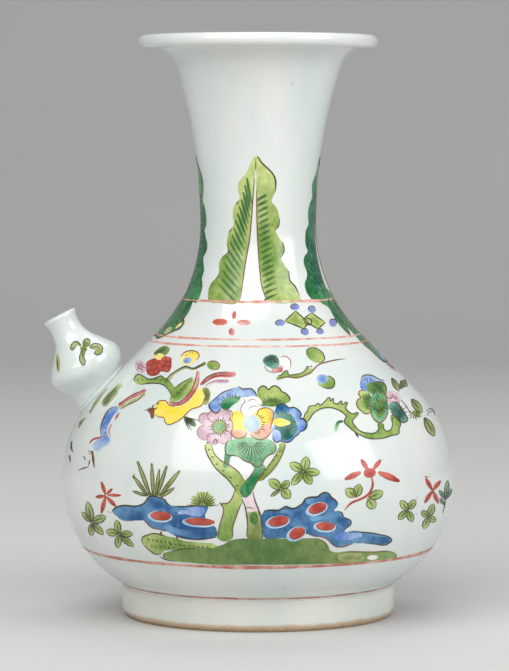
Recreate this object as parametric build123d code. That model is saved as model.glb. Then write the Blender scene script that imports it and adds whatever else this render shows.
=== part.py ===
"""A porcelain kendi: a drinking vessel with a trumpet neck and a breast-shaped spout.

It is thrown in sections that are luted together with liquid clay before the glaze: a foot ring, two halves of
the belly, the neck with its flat lip, the spout's bulb and the spout's nozzle. A thin layer of dried slip lies in
each seam, and a bead of it is squeezed out on the inside, where no tool can reach to smooth it away.

The origin is on the vessel's axis, in the plane that the foot ring stands on. +Z is up, the spout points to -X.
All sizes are in millimetres. A wall outline is a chain of circles and the straight lines tangent to them.
"""

import os
from math import acos, atan2, cos, degrees, hypot, radians, sin, sqrt

from build123d import *

# Overall sizes
vessel_height = 205.0
lip_radius = 42.3
belly_radius = 69.8
belly_height = 48.5
belly_arc = 43.0
shoulder_slope = 45.0
waist_radius = 20.5
waist_height = 138.5

# Walls
belly_wall = 3.5
neck_wall = 3.0
floor_thickness = 4.0
lip_thickness = 4.6
lip_flat = 2.3
lip_underside_fillet = 8.5
mouth_fillet = 10.0

# Foot ring
foot_height = 11.2
foot_radius = 48.4
foot_inner_radius = 42.5
foot_standing_radius = 46.6
foot_round_height = 3.2
foot_top_chamfer = 0.5

# Seams of slip
slip_thickness = 0.4
slip_bead_radius = 1.1
foot_slip_setback = 0.9
neck_seam_height = 109.5

# Spout, measured along its own axis back from the mouth
spout_tilt = 28.0
spout_length = 30.1
spout_seat_rise = 1.0
nozzle_waist_radius = 5.35
nozzle_waist_depth = 4.8
nozzle_arc = 10.5
bulb_radius = 13.45
bulb_depth = 20.3
bulb_arc = 5.3
root_radius = 9.2
root_depth = 29.0
root_arc = 3.5
nozzle_seam_depth = 9.2
nozzle_bore_radius = 3.4
nozzle_lip_radius = 4.8
nozzle_lip_round = 0.8
nozzle_lip_depth = 2.6
spout_wall = 2.6
wall_hole_radius = 6.2
root_overrun = 14.0

# The slip's upper face carries the floor of the body.
floor_height = foot_height + slip_thickness


def shoulder_radius(normal):
    """The arc that leaves the waist upright and runs onto the line that touches the belly's arc at this angle."""
    across = (waist_radius - belly_centre[0]) * cos(normal)
    up = (waist_height - belly_centre[1]) * sin(normal)
    return (across + up - belly_arc) / (1 - cos(normal))


def trumpet_radius(reach, rise, fillet):
    """The arc that leaves the waist upright and runs into a fillet, this far out and up from the waist's edge."""
    return (reach**2 + rise**2 - fillet**2) / (2 * (reach - fillet))


def tangent_angle(circle_a, radius_a, circle_b, radius_b, turn):
    """The angle, seen from either centre, at which a line between two circles touches them on opposite sides."""
    across = circle_b[0] - circle_a[0]
    along = circle_b[1] - circle_a[1]
    return atan2(along, across) + turn * acos((radius_a + radius_b) / hypot(across, along))


def arc(centre, radius, first, last):
    """An arc about a centre from one angle to another, in radians."""
    return CenterArc(centre, radius, degrees(first), degrees(last - first))


def height_angle(radius, rise):
    """The angle at which a circle of this radius has risen by rise above its centre."""
    return atan2(rise, sqrt(radius**2 - rise**2))


def flare(arc_radius, fillet_radius, level):
    """Where the trumpet's arc runs into the fillet under or over the lip: the fillet's centre and the angle to it."""
    centre_height = level - fillet_radius
    reach = arc_radius - fillet_radius
    across = sqrt(reach**2 - (centre_height - waist_height) ** 2)
    centre = (waist_radius + trumpet_arc - across, centre_height)
    return centre, atan2(centre_height - waist_height, -across)


# The circles that the vessel's wall is drawn with
lip_underside = vessel_height - lip_thickness
lip_edge_start = lip_radius - lip_thickness / 2
shoulder_normal = radians(shoulder_slope)
belly_centre = (belly_radius - belly_arc, belly_height)
shoulder_low = (
    belly_centre[0] + belly_arc * cos(shoulder_normal),
    belly_centre[1] + belly_arc * sin(shoulder_normal),
)
shoulder_arc = shoulder_radius(shoulder_normal)
shoulder_centre = (waist_radius + shoulder_arc, waist_height)
trumpet_arc = trumpet_radius(
    lip_edge_start - lip_flat - waist_radius,
    lip_underside - lip_underside_fillet - waist_height,
    lip_underside_fillet,
)
trumpet_centre = (waist_radius + trumpet_arc, waist_height)


def wall_line(inset, lip_fillet, lip_level, foot_level):
    """The outline from the floor to the lip, moved inwards by inset: belly arc, shoulder line, neck arcs, fillet."""
    waist_inset = inset * neck_wall / belly_wall
    belly = belly_arc - inset
    shoulder = shoulder_arc + waist_inset
    trumpet = trumpet_arc + waist_inset
    normal = tangent_angle(belly_centre, belly, shoulder_centre, shoulder, -1)
    fillet_centre, fillet_angle = flare(trumpet, lip_fillet, lip_level)
    half_turn = radians(180)
    belly_curve = arc(belly_centre, belly, height_angle(belly, foot_level - belly_height), normal)
    shoulder_curve = arc(shoulder_centre, shoulder, half_turn + normal, half_turn)
    trumpet_curve = arc(trumpet_centre, trumpet, half_turn, fillet_angle)
    fillet_curve = arc(fillet_centre, lip_fillet, fillet_angle, radians(90))
    shoulder_line = Line(belly_curve @ 1, shoulder_curve @ 0)
    return [belly_curve, shoulder_line, shoulder_curve, trumpet_curve, fillet_curve]


def wall_face():
    """The half section of everything above the foot ring, as if it were one wall."""
    outside = wall_line(0, lip_underside_fillet, lip_underside, floor_height)
    inside = wall_line(belly_wall, mouth_fillet, vessel_height, floor_height + floor_thickness)
    lip_under = Line(outside[-1] @ 1, (lip_edge_start, lip_underside))
    lip_edge = ThreePointArc(
        (lip_edge_start, lip_underside),
        (lip_radius, vessel_height - lip_thickness / 2),
        (lip_edge_start, vessel_height),
    )
    lip_top = Line((lip_edge_start, vessel_height), inside[-1] @ 1)
    floor_top = Line(inside[0] @ 0, (0, floor_height + floor_thickness))
    floor_middle = Line((0, floor_height + floor_thickness), (0, floor_height))
    floor_under = Line((0, floor_height), outside[0] @ 0)
    return make_face([*outside, lip_under, lip_edge, lip_top, *inside, floor_top, floor_middle, floor_under])


def band(low, high):
    """A rectangle of the half section between two heights, wide enough to hold the whole wall."""
    return Pos(belly_radius, (low + high) / 2) * Rectangle(2 * belly_radius, high - low)


def turned(face):
    """The solid that a half section sweeps round the vessel's axis."""
    return revolve(Plane.XZ * face, Axis.Z)


def section(vessel, low, high):
    """One thrown section: the vessel's wall between two heights."""
    return vessel & (Pos(0, 0, (low + high) / 2) * Cylinder(2 * belly_radius, high - low))


def seam(wall, height):
    """The slip in a level seam, with the bead that is squeezed out inside."""
    layer = wall & band(height - slip_thickness / 2, height + slip_thickness / 2)
    inner_edge = layer.bounding_box().min.X
    bead = (Pos(inner_edge, height) * Circle(slip_bead_radius)) - wall
    return turned(layer + bead)


def foot_ring():
    """The ring that the vessel stands on: its lower edge is rounded off outside, its upper edge is eased."""
    outline = [
        Line((foot_inner_radius, 0), (foot_standing_radius, 0)),
        TangentArc((foot_radius, foot_round_height), (foot_standing_radius, 0), tangent=(0, -1)),
        Line((foot_radius, foot_round_height), (foot_radius, foot_height - foot_top_chamfer)),
        Line((foot_radius, foot_height - foot_top_chamfer), (foot_radius - foot_top_chamfer, foot_height)),
        Line((foot_radius - foot_top_chamfer, foot_height), (foot_inner_radius, foot_height)),
        Line((foot_inner_radius, foot_height), (foot_inner_radius, 0)),
    ]
    return turned(make_face(outline))


def foot_slip():
    """The slip that bonds the foot ring to the underside of the body, set back from both edges of the ring."""
    washer = Circle(foot_radius - foot_slip_setback) - Circle(foot_inner_radius + foot_slip_setback)
    return Pos(0, 0, foot_height) * extrude(washer, slip_thickness)


def spout_face(inset):
    """The spout's half section, moved inwards by inset: X runs out from its axis, and Y is minus the depth."""
    nozzle_centre = (nozzle_waist_radius + nozzle_arc, -nozzle_waist_depth)
    bulb_centre = (bulb_radius - bulb_arc, -bulb_depth)
    root_centre = (root_radius + root_arc, -root_depth)
    nozzle = nozzle_arc + inset
    bulb = bulb_arc - inset
    root = root_arc + inset
    upper = tangent_angle(bulb_centre, bulb, nozzle_centre, nozzle, -1)
    lower = tangent_angle(bulb_centre, bulb, root_centre, root, 1)
    half_turn = radians(180)
    mouth_angle = half_turn - height_angle(nozzle, nozzle_waist_depth - nozzle_lip_round)
    nozzle_curve = arc(nozzle_centre, nozzle, mouth_angle, half_turn + upper)
    bulb_curve = arc(bulb_centre, bulb, upper, lower)
    root_curve = arc(root_centre, root, half_turn + lower, half_turn)
    deep = -root_depth - root_overrun
    lip_top = ((nozzle_curve @ 0).X / 2 + nozzle_lip_radius / 2, 0)
    lip_inside = (nozzle_lip_radius, -nozzle_lip_round)
    outline = [
        ThreePointArc(lip_inside, lip_top, nozzle_curve @ 0),
        nozzle_curve,
        Line(nozzle_curve @ 1, bulb_curve @ 0),
        bulb_curve,
        Line(bulb_curve @ 1, root_curve @ 0),
        root_curve,
        Line(root_curve @ 1, (root_radius - inset, deep)),
        Line((root_radius - inset, deep), (0, deep)),
        Line((0, deep), (0, -nozzle_lip_round)),
        Line((0, -nozzle_lip_round), lip_inside),
    ]
    return make_face(outline)


def depth_band(shallow, deep):
    """A rectangle of the spout's half section between two depths behind the mouth."""
    return Pos(bulb_radius, -(shallow + deep) / 2) * Rectangle(2 * bulb_radius, deep - shallow)


def bore_face():
    """The half section of the nozzle's bore: straight up from the seam, and opened out below the rounded lip."""
    return Polygon(
        (0, -nozzle_lip_round),
        (nozzle_lip_radius, -nozzle_lip_round),
        (nozzle_bore_radius, -nozzle_lip_depth),
        (nozzle_bore_radius, -nozzle_seam_depth),
        (0, -nozzle_seam_depth),
        align=None,
    )


def spout_place():
    """The spout's own frame: its Z runs out of the mouth, and its axis meets the wall just above the belly's arc."""
    lean = radians(spout_tilt)
    root_x = shoulder_low[0] - spout_seat_rise * sin(shoulder_normal)
    root_z = shoulder_low[1] + spout_seat_rise * cos(shoulder_normal)
    mouth = (-root_x - spout_length * sin(lean), 0, root_z + spout_length * cos(lean))
    return Plane(origin=mouth, x_dir=(cos(lean), 0, sin(lean)), z_dir=(-sin(lean), 0, cos(lean)))


def on_spout(face):
    """The solid that a half section sweeps round the spout's axis, in its place."""
    return spout_place().location * turned(face)


def body_filled(grown):
    """The outer shape of the belly and shoulder with no hollow, grown outwards by a small amount."""
    outside = wall_line(-grown, lip_underside_fillet, lip_underside, floor_height)
    belly_curve, shoulder_line, shoulder_curve = outside[:3]
    top = shoulder_curve @ 1
    bottom = belly_curve @ 0
    return turned(
        make_face(
            [
                belly_curve,
                shoulder_line,
                shoulder_curve,
                Line(top, (0, top.Y)),
                Line((0, top.Y), (0, bottom.Y)),
                Line((0, bottom.Y), bottom),
            ]
        )
    )


def wall_hole():
    """The hole that is pierced through the shoulder under the spout, along the spout's axis."""
    reach = spout_length + root_overrun
    return spout_place().location * Pos(0, 0, -reach / 2 - bulb_depth / 2) * Cylinder(wall_hole_radius, reach)


def spout_pieces():
    """The bulb, its slip on the shoulder, the slip under the nozzle, and the nozzle."""
    seam_top = nozzle_seam_depth - slip_thickness / 2
    seam_bottom = nozzle_seam_depth + slip_thickness / 2
    tube_end = root_depth + root_overrun
    outer = spout_face(0)
    shell = outer - spout_face(spout_wall)
    nozzle = on_spout((outer - bore_face()) & depth_band(0, seam_top))
    nozzle_slip = on_spout(shell & depth_band(seam_top, seam_bottom))
    tube = on_spout(shell & depth_band(seam_bottom, tube_end))
    on_slip = body_filled(slip_thickness)
    bulb = tube - on_slip
    bulb_slip = (tube & on_slip) - body_filled(0)
    return {"spout_bulb": bulb, "spout_root_slip": bulb_slip, "nozzle_slip": nozzle_slip, "spout_nozzle": nozzle}


def vessel_pieces():
    """The foot ring, the two halves of the belly, the neck, and the slip between them."""
    wall = wall_face()
    pierced = turned(wall) - wall_hole()
    half_slip = slip_thickness / 2
    return {
        "foot_ring": foot_ring(),
        "foot_slip": foot_slip(),
        "lower_body": section(pierced, floor_height, belly_height - half_slip),
        "belly_slip": seam(wall, belly_height),
        "upper_body": section(pierced, belly_height + half_slip, neck_seam_height - half_slip),
        "neck_slip": seam(wall, neck_seam_height),
        "neck": section(pierced, neck_seam_height + half_slip, vessel_height),
    }


pieces = {**vessel_pieces(), **spout_pieces()}
os.makedirs("parts", exist_ok=True)
for name, piece in pieces.items():
    export_step(piece, f"parts/{name}.step")
    print(name, "volume", round(piece.volume), "mm3")
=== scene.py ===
# %% [markdown]
# # A painted porcelain kendi
#
# A kendi is a drinking vessel without a handle. It is held by its neck, filled through the trumpet mouth, and
# drunk from through the small spout on its shoulder. This one is white porcelain, painted over the glaze with
# glassy enamels: plantain leaves on the neck, and a flowering tree between two rocks on the belly.
#
# The lesson dresses a CAD model of the vessel. The CAD model fixes every size. Here each section of the wall gets
# a smooth glazed skin, and the painting is laid on that skin as thin, raised enamel, as a painter would lay it.

# %% Load the CAD model
import math

import bmesh
import bpy
from mathutils import Euler, Matrix, Vector, noise
from mathutils.bvhtree import BVHTree
from mathutils.kdtree import KDTree


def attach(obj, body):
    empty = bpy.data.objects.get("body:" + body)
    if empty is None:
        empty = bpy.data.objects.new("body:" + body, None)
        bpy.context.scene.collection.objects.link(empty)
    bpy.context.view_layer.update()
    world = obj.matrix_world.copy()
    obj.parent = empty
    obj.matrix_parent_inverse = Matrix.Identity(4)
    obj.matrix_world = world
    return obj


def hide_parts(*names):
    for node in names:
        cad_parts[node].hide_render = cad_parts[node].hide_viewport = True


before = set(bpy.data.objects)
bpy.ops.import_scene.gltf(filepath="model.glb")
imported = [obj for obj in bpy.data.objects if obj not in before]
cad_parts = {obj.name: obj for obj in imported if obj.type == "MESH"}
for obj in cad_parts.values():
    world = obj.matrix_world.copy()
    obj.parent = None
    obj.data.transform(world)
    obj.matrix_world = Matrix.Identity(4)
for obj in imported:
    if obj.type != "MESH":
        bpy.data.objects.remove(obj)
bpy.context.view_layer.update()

# %% [markdown]
# ## The camera
#
# The picture of the vessel is taken from a little above the shoulder, with a long lens from more than a metre
# away, so that the rings look like flat ellipses. The same eye point, pitch and focal length do a second job
# later on: a line from the eye through a point of the picture meets the wall where the painter put that point.

# %% Set up the camera
MM = 0.001
PICTURE = (509, 671)
FOCUS = 3292.0  # the focal length in pixels of the picture
EYE = Vector((-1.3 * MM, -1165 * MM, 171 * MM))
EYE_PITCH = math.radians(3.54)
SENSOR = 36.0

camera_data = bpy.data.cameras.new("camera")
camera_data.sensor_width = SENSOR
camera_data.lens = FOCUS * SENSOR / PICTURE[1]
camera_data.clip_start = 0.1
camera_data.clip_end = 20
camera = bpy.data.objects.new("camera", camera_data)
camera.location = EYE
camera.rotation_euler = Euler((math.radians(90) - EYE_PITCH, 0, 0))
bpy.context.scene.collection.objects.link(camera)
bpy.context.scene.camera = camera
print("lens:", round(camera_data.lens, 1), "mm")

# %% [markdown]
# ## Small tools
#
# Every piece of a thrown pot is an outline turned about an axis. The outline is drawn the way it is drawn on
# paper: a point is extruded for a straight run, and spun about a centre for an arc. The finished outline is then
# spun once round, and its first and last rows are merged, so that the skin is closed.

# %% Make objects and draw outlines
def add_object(name, bm, materials):
    """Turns a bmesh into an object that rides on the vessel."""
    mesh = bpy.data.meshes.new(name)
    bm.to_mesh(mesh)
    bm.free()
    piece = bpy.data.objects.new(name, mesh)
    bpy.context.scene.collection.objects.link(piece)
    for material in materials:
        mesh.materials.append(material)
    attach(piece, "root")
    return piece


def put_in_place(name, bm, material, node):
    """A piece that takes the place of a CAD node, in the given material."""
    piece = add_object(name, bm, [material])
    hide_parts(node)
    return piece


def start_at(bm, x, z):
    """The first point of an outline, in millimetres."""
    return bm.verts.new((x * MM, 0, z * MM))


def line_to(bm, point, x, z, steps=1):
    """A straight run of the outline."""
    start, end = point.co.copy(), Vector((x * MM, 0, z * MM))
    for step in range(steps):
        point = bmesh.ops.extrude_vert_indiv(bm, verts=[point])["verts"][0]
        point.co = start.lerp(end, (step + 1) / steps)
    return point


def lines_to(bm, point, *corners):
    """Several straight runs, each given as the x and z of its end and its number of steps."""
    for x, z, steps in corners:
        point = line_to(bm, point, x, z, steps)
    return point


def arc_to(bm, point, centre, degrees, length):
    """An arc of the outline about a centre, in steps of about this length in millimetres."""
    pivot = Vector((centre[0] * MM, 0, centre[1] * MM))
    run = math.radians(abs(degrees)) * (point.co - pivot).length / MM
    turn, steps = math.radians(degrees), max(2, round(run / length))
    spun = bmesh.ops.spin(bm, geom=[point], cent=pivot, axis=(0, -1, 0), angle=turn, steps=steps)
    return next(v for v in spun["geom_last"] if isinstance(v, bmesh.types.BMVert))


def spin_round(bm, steps):
    """Turns the outline once about the Z axis and points its faces outwards."""
    outline = bm.verts[:] + bm.edges[:]
    bmesh.ops.spin(bm, geom=outline, cent=(0, 0, 0), axis=(0, 0, 1), angle=math.tau, steps=steps, use_merge=True)
    bmesh.ops.remove_doubles(bm, verts=bm.verts, dist=0.002 * MM)
    bmesh.ops.recalc_face_normals(bm, faces=bm.faces)
    for face in bm.faces:
        face.smooth = True


def degrees_at(radius, rise):
    """The angle at which a circle of this radius has risen by this much above its centre."""
    return math.degrees(math.asin(rise / radius))


def point_on(centre, radius, degrees):
    """A point of a circle, as x and z."""
    turn = math.radians(degrees)
    return centre[0] + radius * math.cos(turn), centre[1] + radius * math.sin(turn)


print("tools ready")

# %% [markdown]
# ## The wall
#
# The wall is one curve from the foot to the lip: the round belly, a straight shoulder, the hollow curve up to the
# waist, the trumpet, and a small fillet under the flat lip. All the arcs are tangent to each other. The sizes are
# those of the CAD model. The outer skin lies a fifth of a millimetre inside the CAD wall, which leaves room for
# the enamel that comes on top of it, so the painted vessel is exactly as big as the CAD one.

# %% The sizes of the wall
PAINT_ROOM = 0.2
BELLY_CENTRE, BELLY_ARC, BELLY_ARC_INSIDE = (26.8, 48.5), 43.0, 39.5
SHOULDER_CENTRE, SHOULDER_ARC = (75.76, 138.5), 55.26
TRUMPET_CENTRE, TRUMPET_ARC = (197.23, 138.5), 176.73
TRUMPET_TURN, TRUMPET_TURN_INSIDE = 18.51, 19.44  # degrees
FILLET_CENTRE, FILLET_TURN = (37.7, 191.9), 71.49
MOUTH_CENTRE_INSIDE, MOUTH_TURN_INSIDE = (37.18, 195.0), 70.56
SLOPE, SLOPE_INSIDE, SLOPE_LENGTH = 45, 44.04, 29  # the straight shoulder: two angles and a length
FLOOR_UNDER = 11.6
FLOOR_TOP = 15.6
LIP_EDGE = 40.0
LIP_UNDER = 200.4
HEIGHT = 205.0
SEAM_BELLY = 48.5
SEAM_NECK = 109.5


def draw_outside(bm, room, row):
    """The wall's outer outline from the foot to the lip. Room is how far it lies inside the CAD wall."""
    belly, shoulder = BELLY_ARC - room, SHOULDER_ARC + room
    low = degrees_at(belly, FLOOR_UNDER - BELLY_CENTRE[1])
    point = start_at(bm, *point_on(BELLY_CENTRE, belly, low))
    point = arc_to(bm, point, BELLY_CENTRE, SLOPE - low, row)
    point = line_to(bm, point, *point_on(SHOULDER_CENTRE, shoulder, 180 + SLOPE), steps=round(SLOPE_LENGTH / row))
    point = arc_to(bm, point, SHOULDER_CENTRE, -SLOPE, row)
    point = arc_to(bm, point, TRUMPET_CENTRE, -TRUMPET_TURN, row)
    return arc_to(bm, point, FILLET_CENTRE, -FILLET_TURN, row / 2)


def draw_lip(bm, point):
    """The flat lip, rounded at its edge."""
    point = line_to(bm, point, LIP_EDGE, LIP_UNDER + PAINT_ROOM, steps=2)
    point = line_to(bm, point, LIP_EDGE, LIP_UNDER + 0.01)
    point = arc_to(bm, point, (LIP_EDGE, (LIP_UNDER + HEIGHT) / 2), 180, 0.5)
    return line_to(bm, point, MOUTH_CENTRE_INSIDE[0], HEIGHT, steps=3)


def draw_inside(bm, point, row):
    """The inner wall from the lip down to the middle of the floor."""
    point = arc_to(bm, point, MOUTH_CENTRE_INSIDE, MOUTH_TURN_INSIDE, row / 2)
    point = arc_to(bm, point, TRUMPET_CENTRE, TRUMPET_TURN_INSIDE, row)
    point = arc_to(bm, point, SHOULDER_CENTRE, SLOPE_INSIDE, row)
    slope_end = point_on(BELLY_CENTRE, BELLY_ARC_INSIDE, SLOPE_INSIDE)
    point = line_to(bm, point, *slope_end, steps=round(SLOPE_LENGTH / row))
    low = degrees_at(BELLY_ARC_INSIDE, FLOOR_TOP - BELLY_CENTRE[1])
    point = arc_to(bm, point, BELLY_CENTRE, -SLOPE_INSIDE + low, row)
    return line_to(bm, point, 0, FLOOR_TOP, steps=6)


print("wall sizes set")

# %% [markdown]
# ## The glaze
#
# Porcelain glaze is a clear glass over a white body. It looks cool white, a little green where it is thick, and it
# mirrors the studio softly. Close up it has a few iron specks and pinholes, and the throwing rings of the wall
# show through it as the faintest waves. All the glazed pieces share one node group for this. The group puts out a
# colour, a roughness and a height, and the shader itself stays in the material.

# %% Node helpers
def value_socket(group, name, direction, kind, default=None):
    """One named socket of a node group."""
    socket = group.interface.new_socket(name=name, in_out=direction, socket_type=kind)
    if default is not None:
        socket.default_value = default
    return socket


def add_node(tree, kind, inputs=None, **settings):
    """A node, with its settings, and with plain values or links for its inputs, which go by name or by number."""
    node = tree.nodes.new(kind)
    for name, value in settings.items():
        setattr(node, name, value)
    for name, value in (inputs or {}).items():
        if isinstance(value, bpy.types.NodeSocket):
            tree.links.new(value, node.inputs[name])
        else:
            node.inputs[name].default_value = value
    return node


MIX_FACTOR, MIX_FIRST, MIX_SECOND, MIX_RESULT = 0, 6, 7, 2  # the colour sockets of a mix node, by number


def mix_colours(tree, factor, first, second):
    """The colour between two colours."""
    inputs = {MIX_FACTOR: factor, MIX_FIRST: first, MIX_SECOND: second}
    return add_node(tree, "ShaderNodeMix", inputs, data_type="RGBA").outputs[MIX_RESULT]


def maths(tree, operation, first, second=0.0, clamp=False):
    """One sum on one or two values."""
    inputs = {0: first, 1: second}
    return add_node(tree, "ShaderNodeMath", inputs, operation=operation, use_clamp=clamp).outputs[0]


def spread(tree, value, low, high, to_low=0.0, to_high=1.0):
    """Stretches a range of values to another range."""
    inputs = {"Value": value, "From Min": low, "From Max": high, "To Min": to_low, "To Max": to_high}
    return add_node(tree, "ShaderNodeMapRange", inputs, interpolation_type="SMOOTHSTEP").outputs["Result"]


def noise_at(tree, place, scale, detail=2.0, roughness=0.5):
    """Soft noise of so many waves to the metre."""
    inputs = {"Vector": place, "Scale": scale, "Detail": detail, "Roughness": roughness}
    return add_node(tree, "ShaderNodeTexNoise", inputs).outputs["Fac"]


print("node helpers ready")

# %% The group for the glazed surface
def colour(red, green, blue):
    """A colour given as it looks on a screen, from 0 to 255."""
    def linear(value):
        value /= 255
        return value / 12.92 if value <= 0.04045 else ((value + 0.055) / 1.055) ** 2.4

    return linear(red), linear(green), linear(blue), 1.0


def make_glaze_group():
    """Clear glaze: its tint, its specks and pinholes, and the waves of the wall under it."""
    tree = bpy.data.node_groups.new("glaze over white clay", "ShaderNodeTree")
    value_socket(tree, "Thin", "INPUT", "NodeSocketColor", colour(228, 229, 224))
    value_socket(tree, "Thick", "INPUT", "NodeSocketColor", colour(212, 222, 219))
    value_socket(tree, "Specks", "INPUT", "NodeSocketFloat", 1.0)
    value_socket(tree, "Color", "OUTPUT", "NodeSocketColor")
    value_socket(tree, "Roughness", "OUTPUT", "NodeSocketFloat")
    value_socket(tree, "Height", "OUTPUT", "NodeSocketFloat")
    inputs = tree.nodes.new("NodeGroupInput").outputs
    outputs = tree.nodes.new("NodeGroupOutput").inputs
    place = tree.nodes.new("ShaderNodeTexCoord").outputs["Object"]
    flow = add_node(tree, "ShaderNodeMapping", {"Vector": place, "Scale": (1, 1, 0.35)}).outputs["Vector"]
    depth = spread(tree, noise_at(tree, flow, 38, 3), 0.3, 0.72)
    tint = mix_colours(tree, depth, inputs["Thin"], inputs["Thick"])
    cells = add_node(tree, "ShaderNodeTexVoronoi", {"Vector": place, "Scale": 165.0})
    rare = spread(tree, cells.outputs["Color"], 0.84, 0.86)
    dot = spread(tree, cells.outputs["Distance"], 0.11, 0.05)
    speck = maths(tree, "MULTIPLY", maths(tree, "MULTIPLY", rare, dot), inputs["Specks"])
    fine = add_node(tree, "ShaderNodeTexVoronoi", {"Vector": place, "Scale": 420.0})
    few, hole = spread(tree, fine.outputs["Color"], 0.9, 0.92), spread(tree, fine.outputs["Distance"], 0.22, 0.1)
    pin = maths(tree, "MULTIPLY", few, hole)
    stained = mix_colours(tree, maths(tree, "MULTIPLY", speck, 0.55), tint, colour(150, 132, 108))
    pricked = mix_colours(tree, maths(tree, "MULTIPLY", pin, 0.14), stained, colour(178, 180, 174))
    tree.links.new(pricked, outputs["Color"])
    matt = spread(tree, noise_at(tree, place, 240, 2), 0.35, 0.7, 0.13, 0.2)
    tree.links.new(maths(tree, "ADD", matt, maths(tree, "MULTIPLY", pin, 0.3)), outputs["Roughness"])
    split = add_node(tree, "ShaderNodeSeparateXYZ", {"Vector": place})
    sway = maths(tree, "MULTIPLY", noise_at(tree, place, 14, 1), 0.012)
    rings = maths(tree, "SINE", maths(tree, "MULTIPLY", maths(tree, "ADD", split.outputs["Z"], sway), 620.0))
    waves = maths(tree, "MULTIPLY", rings, 0.07)
    uneven = maths(tree, "MULTIPLY", noise_at(tree, place, 60, 2), 0.9)
    skin = maths(tree, "MULTIPLY", noise_at(tree, place, 700, 1), 0.035)
    dents = maths(tree, "MULTIPLY", pin, -0.12)
    total = maths(tree, "ADD", maths(tree, "ADD", waves, uneven), maths(tree, "ADD", skin, dents))
    tree.links.new(total, outputs["Height"])
    return tree


def place_group(tree, group, inputs=None):
    """Puts a node group into a material."""
    return add_node(tree, "ShaderNodeGroup", inputs, node_tree=group)


def new_material(name):
    """An empty material, with its shader."""
    material = bpy.data.materials.new(name)
    material.use_nodes = True
    return material, material.node_tree, material.node_tree.nodes["Principled BSDF"]


def bump(tree, height, distance):
    """Turns a height into a normal."""
    return add_node(tree, "ShaderNodeBump", {"Height": height, "Distance": distance}).outputs["Normal"]


glaze_group = make_glaze_group()


def make_porcelain(name, thin, thick, specks):
    """White porcelain under clear glaze."""
    material, tree, shader = new_material(name)
    glaze = place_group(tree, glaze_group, {"Thin": thin, "Thick": thick, "Specks": specks})
    tree.links.new(glaze.outputs["Color"], shader.inputs["Base Color"])
    tree.links.new(glaze.outputs["Roughness"], shader.inputs["Roughness"])
    tree.links.new(bump(tree, glaze.outputs["Height"], 0.00025), shader.inputs["Normal"])
    shader.inputs["IOR"].default_value = 1.5
    shader.inputs["Coat Weight"].default_value = 0.35
    shader.inputs["Coat Roughness"].default_value = 0.06
    return material


body_porcelain = make_porcelain("body_porcelain", colour(228, 229, 225), colour(212, 222, 219), 0.7)
print("glaze:", body_porcelain.name)

# %% [markdown]
# ## The foot and the bare clay
#
# The potter wipes the glaze off the edge that the pot stands on, or it would fuse to the kiln shelf. The bare edge
# fires to a warm buff, and just above it the glaze ends in an orange-brown line, where iron in the clay has come
# to the surface. The foot's material reads the height above the table, so that this happens only at its edge.

# %% The materials of the foot and of the slip
def make_foot_porcelain():
    """Glaze that ends in a rusty line above a bare, sandy edge."""
    material, tree, shader = new_material("foot_porcelain")
    tints = {"Thin": colour(222, 221, 212), "Thick": colour(208, 215, 208)}
    glaze = place_group(tree, glaze_group, {"Specks": 1.0, **tints})
    place = tree.nodes.new("ShaderNodeTexCoord").outputs["Object"]
    level = add_node(tree, "ShaderNodeSeparateXYZ", {"Vector": place}).outputs["Z"]
    ragged = maths(tree, "MULTIPLY", noise_at(tree, place, 130, 3), 0.0022)
    edge = maths(tree, "ADD", level, ragged)
    bare = spread(tree, edge, 0.0027, 0.002)
    rust = maths(tree, "MULTIPLY", spread(tree, edge, 0.0042, 0.0027), 0.7)
    grit = noise_at(tree, place, 900, 4, 0.7)
    clay = mix_colours(tree, spread(tree, grit, 0.3, 0.7), colour(166, 140, 108), colour(196, 172, 138))
    rusty = mix_colours(tree, rust, glaze.outputs["Color"], colour(190, 148, 104))
    tree.links.new(mix_colours(tree, bare, rusty, clay), shader.inputs["Base Color"])
    matt = maths(tree, "MULTIPLY", bare, 0.62)
    tree.links.new(maths(tree, "ADD", glaze.outputs["Roughness"], matt), shader.inputs["Roughness"])
    rough = maths(tree, "MULTIPLY", maths(tree, "MULTIPLY", grit, bare), 0.5)
    tree.links.new(bump(tree, maths(tree, "ADD", glaze.outputs["Height"], rough), 0.00025), shader.inputs["Normal"])
    shader.inputs["IOR"].default_value = 1.5
    return material


def make_fired_slip():
    """Bare fired slip: chalky, with brush drags and fine pits."""
    material, tree, shader = new_material("fired_slip")
    place = tree.nodes.new("ShaderNodeTexCoord").outputs["Object"]
    drags = add_node(tree, "ShaderNodeMapping", {"Vector": place, "Scale": (1, 1, 6)}).outputs["Vector"]
    streaks = noise_at(tree, drags, 260, 4, 0.6)
    pits = noise_at(tree, place, 1500, 3, 0.7)
    tone = mix_colours(tree, spread(tree, streaks, 0.3, 0.7), colour(206, 198, 182), colour(226, 221, 208))
    tree.links.new(tone, shader.inputs["Base Color"])
    tree.links.new(spread(tree, pits, 0.3, 0.7, 0.62, 0.85), shader.inputs["Roughness"])
    height = maths(tree, "ADD", maths(tree, "MULTIPLY", streaks, 0.6), maths(tree, "MULTIPLY", pits, 0.4))
    tree.links.new(bump(tree, height, 0.00012), shader.inputs["Normal"])
    return material


foot_porcelain = make_foot_porcelain()
fired_slip = make_fired_slip()
print("foot and slip materials ready")

# %% [markdown]
# ## The sections of the wall
#
# The potter throws the vessel in sections and joins them with wet slip: two halves of the belly, and the neck. The
# glaze then hides the seams outside. Here the whole wall is spun once, and each section is cut from a copy of it.
# A cut that falls between two rows of the mesh leaves the same surface on both sides, so no seam shows outside.

# %% Spin the wall and cut it into sections
ROUND = 200  # faces round the vessel
OUTER_ROW, INNER_ROW = 1.6, 3.2  # how far the rows of faces are apart, in millimetres


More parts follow.
